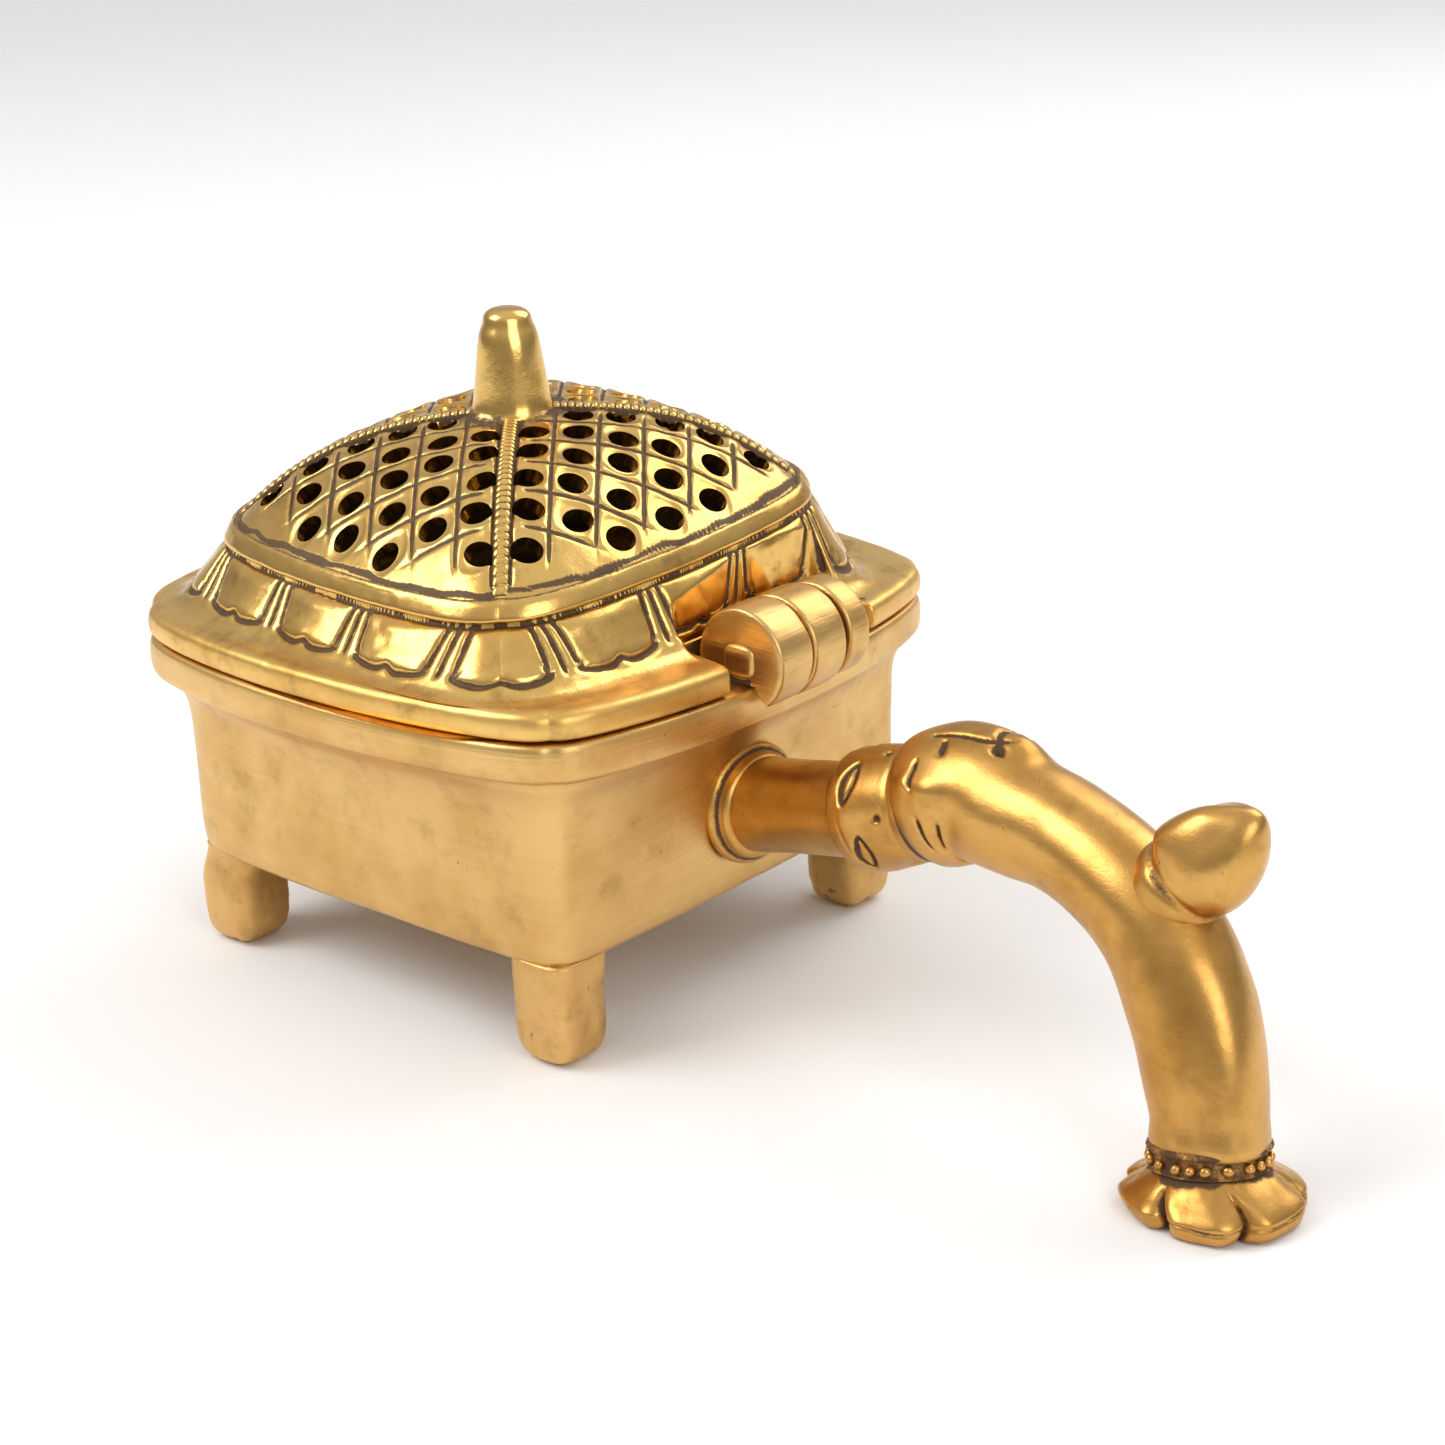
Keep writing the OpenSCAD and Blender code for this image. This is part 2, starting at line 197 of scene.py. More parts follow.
def grid_sheet(name: str, columns: int, rows: int) -> tuple[bpy.types.Object, Grid, Grid]:
    """Adds a flat grid.

    Returns:
        The piece, and each vertex's u and v from 0 to 1, in rows.
    """
    nothing_selected()
    bpy.ops.mesh.primitive_grid_add(x_subdivisions=columns, y_subdivisions=rows, size=1)
    piece = bpy.context.object
    piece.name = name
    piece.data.name = name
    flat = np.zeros(len(piece.data.vertices) * 3)
    piece.data.vertices.foreach_get("co", flat)
    flat = flat.reshape(-1, columns + 1, 3)
    return piece, flat[..., 0] + 0.5, flat[..., 1] + 0.5


def rolled(name: str, columns: int, profile: Grid) -> tuple[bpy.types.Object, Grid, list[Grid]]:
    """Adds a sheet that goes once round for each row of a profile.

    Returns:
        The piece, each vertex's share of the way round, and each of the profile's values there.
    """
    piece, u, _ = grid_sheet(name, columns, len(profile) - 1)
    return piece, u, [column[:, None] + 0 * u for column in profile.T]


def store(piece: bpy.types.Object, points: Grid, marks: Marks) -> None:
    """Moves a mesh's vertices to points in millimetres, and keeps marks as attributes."""
    piece.data.vertices.foreach_set("co", (points.reshape(-1, 3) * MM + np.array(BASE)).ravel())
    for name, values in marks.items():
        layer = piece.data.attributes.get(name) or piece.data.attributes.new(name, "FLOAT", "POINT")
        layer.data.foreach_set("value", np.broadcast_to(values, points.shape[:-1]).ravel().astype(np.float32))
    piece.data.update()


def normals_of(points: Grid, closed: bool = True) -> Grid:
    """Normal of a grid of points at each of them, for a sheet whose columns run round a tube."""
    if closed:
        wrapped = np.concatenate([points[:, -2:-1], points, points[:, 1:2]], axis=1)
        across = (wrapped[:, 2:] - wrapped[:, :-2])
    else:
        across = np.gradient(points, axis=1)
    along = np.gradient(points, axis=0)
    n = np.cross(across, along)
    return n / np.maximum(np.linalg.norm(n, axis=-1, keepdims=True), 1e-9)


def carve(piece: bpy.types.Object, cutter: bpy.types.Object) -> None:
    """Cuts one closed mesh out of another and removes the cutter."""
    only(piece)
    cut = piece.modifiers.new("cut", "BOOLEAN")
    cut.operation = "DIFFERENCE"
    cut.solver = "MANIFOLD"
    cut.object = cutter
    bpy.ops.object.modifier_apply(modifier="cut")
    bpy.data.objects.remove(cutter)


def joined(name: str, pieces: list[bpy.types.Object]) -> bpy.types.Object:
    """Joins pieces into one object at the origin."""
    nothing_selected()
    for p in pieces:
        p.select_set(True)
    bpy.context.view_layer.objects.active = pieces[0]
    if len(pieces) > 1:
        bpy.ops.object.join()
    out = bpy.context.view_layer.objects.active
    bpy.ops.object.transform_apply(location=True, rotation=True, scale=True)
    out.name = name
    out.data.name = name
    return out


# ---- shader helpers ------------------------------------------------------------------------------


class Wire:
    """A number flowing through a material, on which Python's operators add Math nodes."""

    def __init__(self, nodes: "Nodes", socket: bpy.types.NodeSocket) -> None:
        """Wraps one output socket."""
        self.nodes = nodes
        self.socket = socket

    def _math(self, operation: str, *values: "Wire | float") -> "Wire":
        """Adds one Math node."""
        return self.nodes.add("ShaderNodeMath", {"operation": operation}, dict(enumerate(values)))

    def __add__(self, other: "Wire | float") -> "Wire":
        """Sum."""
        return self._math("ADD", self, other)

    def __sub__(self, other: "Wire | float") -> "Wire":
        """Difference."""
        return self._math("SUBTRACT", self, other)

    def __rsub__(self, other: float) -> "Wire":
        """Difference from a plain number."""
        return self._math("SUBTRACT", other, self)

    def __mul__(self, other: "Wire | float") -> "Wire":
        """Product."""
        return self._math("MULTIPLY", self, other)

    def clamped(self) -> "Wire":
        """The value held between 0 and 1."""
        return self._math("MINIMUM", self._math("MAXIMUM", self, 0.0), 1.0)

    __radd__ = __add__
    __rmul__ = __mul__


class Nodes:
    """Builds one material's node tree."""

    def __init__(self, name: str) -> None:
        """Starts an empty material with a Principled shader."""
        self.material = bpy.data.materials.new(name)
        self.material.use_nodes = True
        self.tree = self.material.node_tree
        self.shader = self.tree.nodes["Principled BSDF"]

    def add(self, kind: str, settings: dict[str, object] | None = None,
            inputs: dict[str | int, object] | None = None, output: str | int = 0) -> Wire:
        """Adds a node.

        Args:
            kind: The node's type.
            settings: Properties of the node, set before its sockets.
            inputs: Values or wires for its sockets, by name or number.
            output: The socket that is returned.

        Returns:
            The output, as a wire.
        """
        node = self.tree.nodes.new(kind)
        for key, value in (settings or {}).items():
            setattr(node, key, value)
        for key, value in (inputs or {}).items():
            socket = node.inputs[key]
            if isinstance(value, Wire):
                self.tree.links.new(value.socket, socket)
            else:
                socket.default_value = value
        return Wire(self, node.outputs[output])

    def mark(self, name: str) -> Wire:
        """One of the mesh's own attributes."""
        return self.add("ShaderNodeAttribute", {"attribute_name": name}, output="Fac")

    def place(self, scale: tuple[float, float, float]) -> Wire:
        """The point's own place on the piece, stretched."""
        where = self.add("ShaderNodeTexCoord", output="Object")
        return self.add("ShaderNodeMapping", {}, {"Vector": where, "Scale": scale})

    def cloud(self, scale: tuple[float, float, float], detail: float = 3, rough: float = 0.55) -> Wire:
        """Noise from 0 to 1 at so many cells a metre along each axis."""
        return self.add("ShaderNodeTexNoise", {"noise_dimensions": "3D"},
                        {"Vector": self.place(scale), "Scale": 1.0, "Detail": detail, "Roughness": rough})

    def ramp(self, value: Wire, low: float, high: float) -> Wire:
        """Rises from 0 at low to 1 at high."""
        return self.add("ShaderNodeMapRange", {"interpolation_type": "SMOOTHSTEP"},
                        {"Value": value, "From Min": low, "From Max": high})

    def colours(self, factor: Wire, a: "Wire | tuple", b: "Wire | tuple") -> Wire:
        """Blends two colours."""
        return self.add("ShaderNodeMix", {"data_type": "RGBA"}, {"Factor": factor, 6: a, 7: b}, output=2)

    def finish(self, **sockets: object) -> bpy.types.Material:
        """Feeds the shader, by socket name with spaces written as underscores."""
        for key, value in sockets.items():
            socket = self.shader.inputs[key.replace("_", " ")]
            if isinstance(value, Wire):
                self.tree.links.new(value.socket, socket)
            else:
                socket.default_value = value
        return self.material


@dataclass(frozen=True)
class BrassFinish:
    """One way that the brass is finished.

    Attributes:
        name: The material's name.
        bright: Colour of clean metal.
        deep: Colour of metal that has toned down.
        rough: Roughness of clean metal.
        toning: How much of the deep colour shows in clouds.
        grind: Cells a metre of the grinding marks along X, Y and Z.
        grind_height: Height of the grinding marks, in metres.
        grain_height: Height of the fine cast grain, in metres.
        pits: Share of the surface that casting pits take, from 0 to 1.
        tarnish: How strongly brown clouds show, from 0 to 1.
        patina_and_shade: Colour of what fills the engraving, and of the shade painted under the box's wall,
            at the lugs' feet and behind the handle's root.
        soot: Colour of the inside.
    """

    name: str
    bright: tuple[float, float, float]
    deep: tuple[float, float, float]
    rough: float
    toning: float = 0.5
    grind: tuple[float, float, float] = (60, 60, 2400)
    grind_height: float = 0.00003
    grain_height: float = 0.00002
    pits: float = 0.1
    tarnish: float = 0.3
    patina_and_shade: tuple[float, float, float] = (0.055, 0.024, 0.009)
    soot: tuple[float, float, float] = (0.030, 0.024, 0.020)

    def material(self) -> bpy.types.Material:
        """Builds the finish as a node material."""
        n = Nodes(self.name)
        broad = n.cloud((55, 55, 55), 4, 0.6)
        tarnish = n.ramp(n.cloud((130, 130, 130), 5, 0.65), 0.50, 0.74) * self.tarnish
        streak = n.cloud(self.grind, 3, 0.65)
        grain = n.cloud((2600, 2600, 2600), 2)
        speck = n.cloud((420, 420, 420), 4, 0.7)
        pit = n.ramp(speck, 0.70 - 0.06 * self.pits, 0.76) * min(1.0, self.pits * 4)
        worn = n.mark("patina_and_shade")
        ragged = n.cloud((1500, 1500, 1500), 3, 0.7)
        patina_and_shade = n.ramp(worn + (ragged - 0.5) * 0.55, 0.30, 0.62)
        sooty = n.ramp(n.mark("soot") + (broad - 0.5) * 0.3, 0.25, 0.75)
        toned = (n.ramp(broad, 0.35, 0.7) * self.toning + (streak - 0.5) * 0.35).clamped()
        metal = n.colours(toned, (*self.bright, 1), (*self.deep, 1))
        metal = n.colours(tarnish.clamped(), metal, (*self.deep_pit(), 1))
        metal = n.colours(pit, metal, (*self.deep_pit(), 1))
        # The patina mark darkens the metal: real patina in the engraving and hollows, and painted shade under
        # the box's wall, at the lugs' feet and behind the handle's root.
        metal = n.colours((patina_and_shade * 0.93).clamped(), metal, (*self.patina_and_shade, 1))
        metal = n.colours((sooty * 0.9).clamped(), metal, (*self.soot, 1))
        rough = (self.rough + n.mark("satin") * 0.17 + tarnish * 0.12 + (streak - 0.5) * 0.16
                 + (broad - 0.5) * 0.12 + patina_and_shade * 0.35 + sooty * 0.4 + pit * 0.25).clamped()
        height = streak * self.grind_height + grain * self.grain_height - pit * 0.00012 - patina_and_shade * 0.00004
        normal = n.add("ShaderNodeBump", {}, {"Strength": 1.0, "Distance": 1.0, "Height": height})
        return n.finish(Base_Color=metal, Roughness=rough, Normal=normal,
                        Metallic=(1.0 - patina_and_shade * 0.75 - sooty * 0.8).clamped())

    def deep_pit(self) -> tuple[float, float, float]:
        """Colour at the bottom of a casting pit."""
        return tuple(0.45 * c for c in self.deep)


@dataclass(frozen=True)
class SteelFinish:
    """Plain steel of the fastening inside the box.

    Attributes:
        name: The material's name.
    """

    name: str = "plain_steel"

    def material(self) -> bpy.types.Material:
        """Builds the finish as a node material."""
        n = Nodes(self.name)
        broad = n.cloud((300, 300, 300), 4)
        streak = n.cloud((3000, 200, 200), 3)
        metal = n.colours(n.ramp(broad, 0.45, 0.75), (0.42, 0.41, 0.39, 1), (0.12, 0.075, 0.05, 1))
        normal = n.add("ShaderNodeBump", {}, {"Strength": 1.0, "Distance": 1.0, "Height": streak * 0.00003})
        return n.finish(Base_Color=metal, Metallic=0.9, Roughness=0.35 + broad * 0.3, Normal=normal)


SATIN = BrassFinish("satin_brass", (0.76, 0.49, 0.185), (0.56, 0.31, 0.08), 0.36, toning=0.6,
                    grind=(26, 26, 1500), grind_height=0.00008, pits=0.18, tarnish=0.3)
POLISHED = BrassFinish("polished_brass", (0.82, 0.53, 0.165), (0.62, 0.33, 0.075), 0.21, toning=0.6,
                       grind=(500, 500, 500), grind_height=0.00003, grain_height=0.00001, pits=0.08,
                       tarnish=0.6)
WARM = BrassFinish("handle_brass", (0.66, 0.37, 0.105), (0.44, 0.21, 0.04), 0.33, toning=0.8,
                   grind=(300, 1100, 1100), grind_height=0.00002, pits=0.3, tarnish=0.35)
CAST = BrassFinish("cast_brass", (0.76, 0.48, 0.18), (0.52, 0.28, 0.075), 0.40, toning=0.8,
                   grind=(700, 700, 400), grind_height=0.00008, grain_height=0.00005, pits=0.6, tarnish=0.4)


# ---- pieces of the object --------------------------------------------------------------------------


@dataclass
class Workshop:
    """Dresses each piece, rides it on its body and reports it.

    Attributes:
        materials: The node material of each slot.
    """

    materials: dict[Slot, bpy.types.Material] = field(default_factory=dict)

    def __post_init__(self) -> None:
        """Makes each finish once."""
        makers = {Slot.SATIN: SATIN, Slot.POLISHED: POLISHED, Slot.HANDLE: WARM, Slot.CAST: CAST,
                  Slot.STEEL: SteelFinish()}
        self.materials = {slot: finish.material() for slot, finish in makers.items()}

    def deliver(self, piece: bpy.types.Object, body: Body, slot: Slot, *nodes: str,
                angle: float = 40) -> None:
        """Finishes a piece.

        Args:
            piece: The new piece, in place.
            body: The body that it rides on.
            slot: Its finish.
            nodes: CAD nodes that it stands for.
            angle: Edges past this many degrees stay sharp.
        """
        smooth(piece, angle)
        piece.data.materials.clear()
        piece.data.materials.append(self.materials[slot])
        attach(piece, body.value)
        if nodes:
            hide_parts(*nodes)
        log.info("%s: %d faces, %s", piece.name, len(piece.data.polygons), slot.value)

    def dress_node(self, name: str, slot: Slot) -> None:
        """Gives a CAD node that stays a worked finish."""
        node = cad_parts[name]
        node.data.materials.clear()
        node.data.materials.append(self.materials[slot])
        log.info("%s: kept, %s", name, slot.value)


@dataclass
class Cushion:
    """Outline of a square with bowed sides and rounded corners.

    Attributes:
        hinge_corner: Squareness of the two corners on the handle's side.
        free_corner: Squareness of the other two corners.
    """

    hinge_corner: float = 21
    free_corner: float = 9.5

    def at(self, phi: Grid, half: Grid, bow: Grid) -> tuple[Grid, Grid]:
        """Place of the outline in each direction.

        Args:
            phi: Direction from the middle.
            half: Half width at the corners.
            bow: How far the sides stand out beyond that.

        Returns:
            x and y.
        """
        c, s = np.cos(phi), np.sin(phi)
        power = mix(self.free_corner, self.hinge_corner, step(-0.4, 0.4, c))
        big = (np.abs(c) ** power + np.abs(s) ** power) ** (1 / power)
        side = np.minimum(np.abs(c), np.abs(s)) / big
        reach = (half + bow * (1 - side**2)) / big
        return reach * c, reach * s


@dataclass
class EmberBox:
    """The cast box with its flared rim, and its four feet, in millimetres.

    Attributes:
        shop: Takes the finished pieces.
        rim_half: Half width of the rim at its corners.
        rim_bow: How far the rim's sides stand out beyond that.
        wall_half: Half width of the walls at their corners.
        foot_h: Height of the box's underside above the table.
        rim_z: Height of the rim's top.
        columns: Points round the box.
        outline: Outline of the walls and the rim.
    """

    shop: Workshop
    rim_half: float = 46
    rim_bow: float = 8
    wall_half: float = 42.9
    foot_h: float = 17
    rim_z: float = 55.4
    columns: int = 360
    outline: Cushion = field(default_factory=Cushion)

    def build(self) -> None:
        """Makes the box and its feet."""
        self.build_box()
        for node in ("foot_free_near", "foot_free_far", "foot_hinge_near", "foot_hinge_far"):
            self.build_foot(node)

    def build_box(self) -> None:
        """Rolls the walls, rim, cavity and floor as one skin, then notches the rim for the lid's knuckle."""
        low, top, wall, rim, bow = self.foot_h, self.rim_z, self.wall_half, self.rim_half, self.rim_bow
        profile = curve([
            (low, 0.02, 0, 4), (low, wall - 3, 0.9, 3), (low, wall - 1.4, 0.9, 3),
            (low + 0.5, wall - 0.5, 0.9, 3), (low + 1.6, wall, 1, 10), (top - 20, wall + 0.4, 1.2, 8),
            (top - 12, wall + 0.6, 2.6, 8), (top - 8.5, wall + 1.3, 4.8, 5),
            (top - 6.7, rim - 1.5, bow - 1.2, 3), (top - 6, rim - 0.4, bow - 0.1, 3),
            (top - 5.3, rim, bow, 5), (top - 0.9, rim, bow, 3), (top - 0.2, rim - 0.35, bow, 2),
            (top, rim - 0.9, bow, 5), (top, wall - 2, 2.2, 3), (top - 0.8, wall - 2.8, 1.8, 6),
            (top - 12, wall - 3, 1.2, 8), (low + 8, wall - 3.2, 1, 5), (low + 4, wall - 4.2, 0.8, 4),
            (low + 3.2, wall - 7, 0.6, 5), (low + 3.2, 0.02, 0, 1)])
        piece, u, (h, half, bows) = rolled("ember_box", self.columns, profile)
        x, y = self.outline.at(square_angle(u % 1), half, bows)
        points = np.stack([x, y, h], axis=-1)
        inner_rows = 29
        inside = np.broadcast_to((np.arange(len(profile)) >= len(profile) - inner_rows)[:, None], u.shape)
        out = normals_of(points)
        seen = (half > 5)[..., None]
        wave = 0.16 * noise(points, 17, 1) + 0.05 * noise(points, 5, 2)
        cast = 0.22 * noise(points, 2.4, 3) + 0.2 * noise(points, 7, 4)
        points = points + seen * out * np.where(inside, cast, wave)[..., None]
        # Painted shade: the wall's bottom edge, where it turns under towards the table, is darkened with the
        # patina colour.
        under = step(low + 1.3, low + 0.2, h) * (half > 5)
        soot = 0.85 * inside * step(top - 1, top - 9, h)
        store(piece, points, {"patina_and_shade": 0.45 * under * (~inside), "soot": soot})
        mesh_cleaned(piece)
        carve(piece, self.knuckle_notch())
        self.shop.deliver(piece, Body.BOX, Slot.SATIN, "box_shell", angle=50)

    def knuckle_notch(self) -> bpy.types.Object:
        """The round that is filed out of the rim so that the lid's knuckle can turn."""
        low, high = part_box("lid_knuckle")
        pin_low, pin_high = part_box("hinge_pin")
        axis = (pin_low + pin_high) / 2
        nothing_selected()
        bpy.ops.mesh.primitive_cylinder_add(
            vertices=64, radius=8.6 * MM, depth=(high.y - low.y) + 0.8 * MM,
            location=(axis.x, (low.y + high.y) / 2, axis.z), rotation=(pi / 2, 0, 0))
        return bpy.context.object

    def build_foot(self, node: str) -> None:
        """A short cast post with a worn, rounded sole and rough inner faces."""
        low, high = corners(node)
        mid = (low + high) / 2
        half, top = (high.x - low.x) / 2, high.z
        profile = curve([
            (0.3, 0.02, 4), (0.1, half - 4, 3), (0.35, half - 2.4, 3), (1.4, half - 1.0, 4),
            (3.4, half - 0.35, 8), (top - 4, half - 0.05, 5), (top - 0.4, half, 3), (top + 0.6, half, 3),
            (top + 0.8, 0.02, 1)])
        piece, u, (h, reach) = rolled(f"{node}_casting", 72, profile)
        x, y = Cushion(4.5, 3.6).at(square_angle(u % 1), reach, 0.15 + 0 * reach)
        tuck = 1.0 * step(top - 6, top, h) * (mid.x < 0)
        x, y = x - tuck * np.sign(mid.x), y - tuck * np.sign(mid.y)
        points = np.stack([x + mid.x, y + mid.y, h], axis=-1)
        inner = step(0.5, -0.5, x * np.sign(mid.x) / half) + step(0.5, -0.5, y * np.sign(mid.y) / half)
        rough = 0.16 * noise(points, 1.5, 7) + 0.28 * noise(points, 4.5, 8)
        rough = rough - 0.3 * step(0.45, 0.8, noise(points, 1.9, 9))
        rough = rough * np.clip(inner, 0.25, 1) * (reach > half - 5) * step(0.0, 0.8, h)
        points = points + normals_of(points) * np.minimum(rough, 0.12)[..., None]
        store(piece, points, {"patina_and_shade": 0.5 * step(-0.12, -0.4, rough)})
        mesh_cleaned(piece)
        self.shop.deliver(piece, Body.BOX, Slot.CAST, node, angle=60)


@dataclass
class Lid:
    """The perforated dome, its engraved skirt and flange, its ladder ridges and its finial.

    Lengths are in millimetres.

    Attributes:
        shop: Takes the finished pieces.
        flange_z: Height of the flange's underside.
        flange_t: The flange's thickness.
        shift: How far the dome sits off the middle, towards -Y.
        turn: Degrees by which the dome is turned, clockwise from above.
        tilt: Rise of the dome for each millimetre towards +Y.
        lattice: Pitch of the dome's grooves.
        hole_r: Radius of the dome's holes.
        crown: Height of the dome's middle above the flange's top.
        shoulder: Half width of the ring past which the dome dives under the band.
        rim_half: Half width of the flange at its corners.
        rim_bow: How far the flange's sides stand out beyond that.
        last_cell: Greatest sum of a hole's column and row.
        dome_power: Squareness of the dome's rings.
        outline: Outline of the skirt.
        flange_outline: Outline of the flange.
        skirt_columns: Points round the skirt and the flange.
    """

    shop: Workshop
    flange_z: float = 55.7
    flange_t: float = 4.5
    shift: float = 2.8
    turn: float = 5
    tilt: float = 0.08
    lattice: float = 7
    hole_r: float = 2.4
    crown: float = 29.9
    shoulder: float = 34
    rim_half: float = 46
    rim_bow: float = 8
    last_cell: int = 5
    dome_power: float = 8
    outline: Cushion = field(default_factory=lambda: Cushion(8, 8))
    flange_outline: Cushion = field(default_factory=Cushion)
    skirt_columns: int = 864

    @property
    def top_z(self) -> float:
        """Height of the flange's top face."""
        return self.flange_z + self.flange_t

    def build(self) -> None:
        """Makes every piece of the lid."""
        self.build_dome()
        self.build_skirt()
        self.build_ladders()
        self.build_finial()

    # -- dome --

    def ring_of(self, x: Grid, y: Grid) -> Grid:
        """Half width of the dome's ring that passes through a point of its plan."""
        ax, ay = np.abs(x), np.abs(y)
        big = (ax**self.dome_power + ay**self.dome_power) ** (1 / self.dome_power)
        side = np.minimum(ax, ay) / np.maximum(big, 1e-6)
        return big / (1 + 0.134 * (1 - side**2))

    def dome_height(self, ring: Grid) -> Grid:
        """Height of the dome above the flange's top, and its dive under the band past the shoulder."""
        t = ring / self.shoulder
        return self.crown - 1.2 * t - 13.5 * t**3 - 1.6 * np.maximum(ring - self.shoulder - 0.1, 0)

    def seated(self, x: Grid, y: Grid, h: Grid) -> Grid:
        """Turns, tilts and shifts the dome's own points, given above the flange's top, into place."""
        c, s = cos(radians(self.turn)), sin(radians(self.turn))
        x, y = x * c + y * s, y * c - x * s
        return np.stack([x, y - self.shift, self.top_z + h + self.tilt * y * np.clip(h / 11, 0, 1)], axis=-1)

    def cells(self) -> list[tuple[float, float]]:
        """Middles of the lattice cells that hold a smoke hole, along the two diagonals."""
        out = []
        for i in range(self.last_cell + 1):
            for j in range(self.last_cell + 1):
                middle = i + j == self.last_cell + 1 and abs(i - j) <= 2
                if 1 <= i + j <= self.last_cell or middle:
                    out += [(a * (i + 0.5) * self.lattice, b * (j + 0.5) * self.lattice)
                            for a in (-1, 1) for b in (-1, 1)]
        return out

    def lines(self, n: int) -> Grid:
        """Warps evenly spaced grid lines so that they crowd at each groove of the lattice."""
        stops = np.array([0, 0.2, 0.42, 0.7, 1.02, 1.4, 1.78, 2.25, 2.85, 3.5]) * self.lattice / 7
        offsets = np.concatenate([stops, self.lattice - stops[-2:0:-1]])
        k = np.arange(n + 1) - n // 2
        return np.floor(k / 18) * self.lattice + offsets[k % 18]

    def groove_depth(self, p: Grid, q: Grid, ring: Grid, points: Grid) -> Grid:
        """How strongly the chisel has cut at each point, from 0 to 1.

        Args:
            p: Distance along one diagonal.
            q: Distance along the other.
            ring: Half width of the dome's ring there.
            points: The same points, for the hand's wander.
        """
        wander = 0.14 * noise(points, 6, 11)
        rag = 1 + 0.25 * noise(points, 0.9, 12)
        cut = np.zeros_like(p)
        for along, across in ((p, q), (q, p)):
            off = (across + wander + self.lattice / 2) % self.lattice - self.lattice / 2
            starts = step(2.2, 4.2, np.abs(along)) * step(2.5, 4, np.abs(across))
            ends = step(self.shoulder - 1.2, self.shoulder - 4.5, ring) * step(6.5, 9, ring)
            cut = np.maximum(cut, bump(off, 0.36) * starts * ends * rag)
            border = bump(np.abs(across) - 1.42 + wander * 0.5, 0.34) * step(5, 6.5, ring)
            cut = np.maximum(cut, 1.15 * border * step(self.shoulder - 0.6, self.shoulder - 1.6, ring))
        return cut

    def build_dome(self) -> None:
        """Shapes a grid laid along the diagonals, thickens it and drills the smoke holes."""
        count = 18 * 14
        piece, u, _ = grid_sheet("lid_dome", count, count)
        lines = self.lines(count)
        p = np.broadcast_to(lines[None, :], u.shape)
        q = np.broadcast_to(lines[:, None], u.shape)
        x, y = (p + q) / 2**0.5, (p - q) / 2**0.5
        ring = self.ring_of(x, y)
        plan = np.stack([x, y, 0 * x], axis=-1)
        cut = self.groove_depth(p, q, ring, plan)
        dish = np.zeros_like(p)
        for a, b in self.cells():
            dish = np.maximum(dish, step(self.hole_r + 1.0, self.hole_r - 0.1, np.hypot(p - a, q - b)))
        z = self.dome_height(ring) - 0.5 * cut - 0.38 * dish
        z += 0.10 * noise(plan, 9, 13) + 0.035 * noise(plan, 2.2, 14)
        z += 0.28 * (bump(p, 0.9) + bump(q, 0.9)) * step(5, 8, ring)
        points = self.seated(x, y, z)
        edge = 0.9 * bump(ring - self.shoulder + 0.4 + 0.35 * noise(plan, 3, 16), 0.36)
        stain = 0.5 * step(9.5, 6.8, ring)
        stain += 0.26 * step(-0.4, 0.7, noise(plan, 6, 15))
        patina_and_shade = np.clip(cut * 0.95, 0, 1) + edge + stain
        store(piece, points, {"patina_and_shade": np.clip(patina_and_shade, 0, 1), "soot": 0 * z, "ring": ring})
        self.trim(piece, self.shoulder + 1.2)
        self.thicken(piece, 2.5)
        carve(piece, self.hole_cutter())
        self.shop.deliver(piece, Body.LID, Slot.POLISHED, "lid_shell", angle=50)

    @staticmethod
    def trim(piece: bpy.types.Object, limit: float) -> None:
        """Deletes what lies outside one ring of the dome."""
        ring = np.zeros(len(piece.data.vertices), np.float32)
        piece.data.attributes["ring"].data.foreach_get("value", ring)
        piece.data.attributes.remove(piece.data.attributes["ring"])
        only(piece)
        bpy.ops.object.mode_set(mode="EDIT")
        bpy.ops.mesh.select_all(action="DESELECT")
        bpy.ops.object.mode_set(mode="OBJECT")
        piece.data.vertices.foreach_set("select", ring > limit)
        bpy.ops.object.mode_set(mode="EDIT")
        bpy.ops.mesh.delete(type="VERT")
        bpy.ops.mesh.select_all(action="SELECT")
        bpy.ops.mesh.normals_make_consistent(inside=False)
        bpy.ops.object.mode_set(mode="OBJECT")
        up = sum(f.normal.z for f in piece.data.polygons)
        if up < 0:
            piece.data.flip_normals()

    @staticmethod
    def thicken(piece: bpy.types.Object, wall: float) -> None:
        """Copies the skin straight down by the wall's thickness, closes the edge and soots the inside."""
        only(piece)
        bpy.ops.object.mode_set(mode="EDIT")
        bpy.ops.mesh.select_all(action="SELECT")
        bpy.ops.mesh.extrude_region_move(TRANSFORM_OT_translate={"value": (0, 0, -wall * MM)})
        bpy.ops.mesh.select_all(action="SELECT")
        bpy.ops.mesh.normals_make_consistent(inside=False)
        bpy.ops.object.mode_set(mode="OBJECT")
        low = Lid.lower_copy(piece)
        for name, inside in (("patina_and_shade", 0.0), ("soot", 0.8)):
            values = np.zeros(len(low), np.float32)
            layer = piece.data.attributes[name]
            layer.data.foreach_get("value", values)
            values[low] = inside
            layer.data.foreach_set("value", values)

    @staticmethod
    def lower_copy(piece: bpy.types.Object) -> Grid:
        """Which vertices belong to the inside skin: their faces look down."""
        low = np.zeros(len(piece.data.vertices), bool)
        for face in piece.data.polygons:
            if face.normal.z < -0.1:
                low[list(face.vertices)] = True
        return low

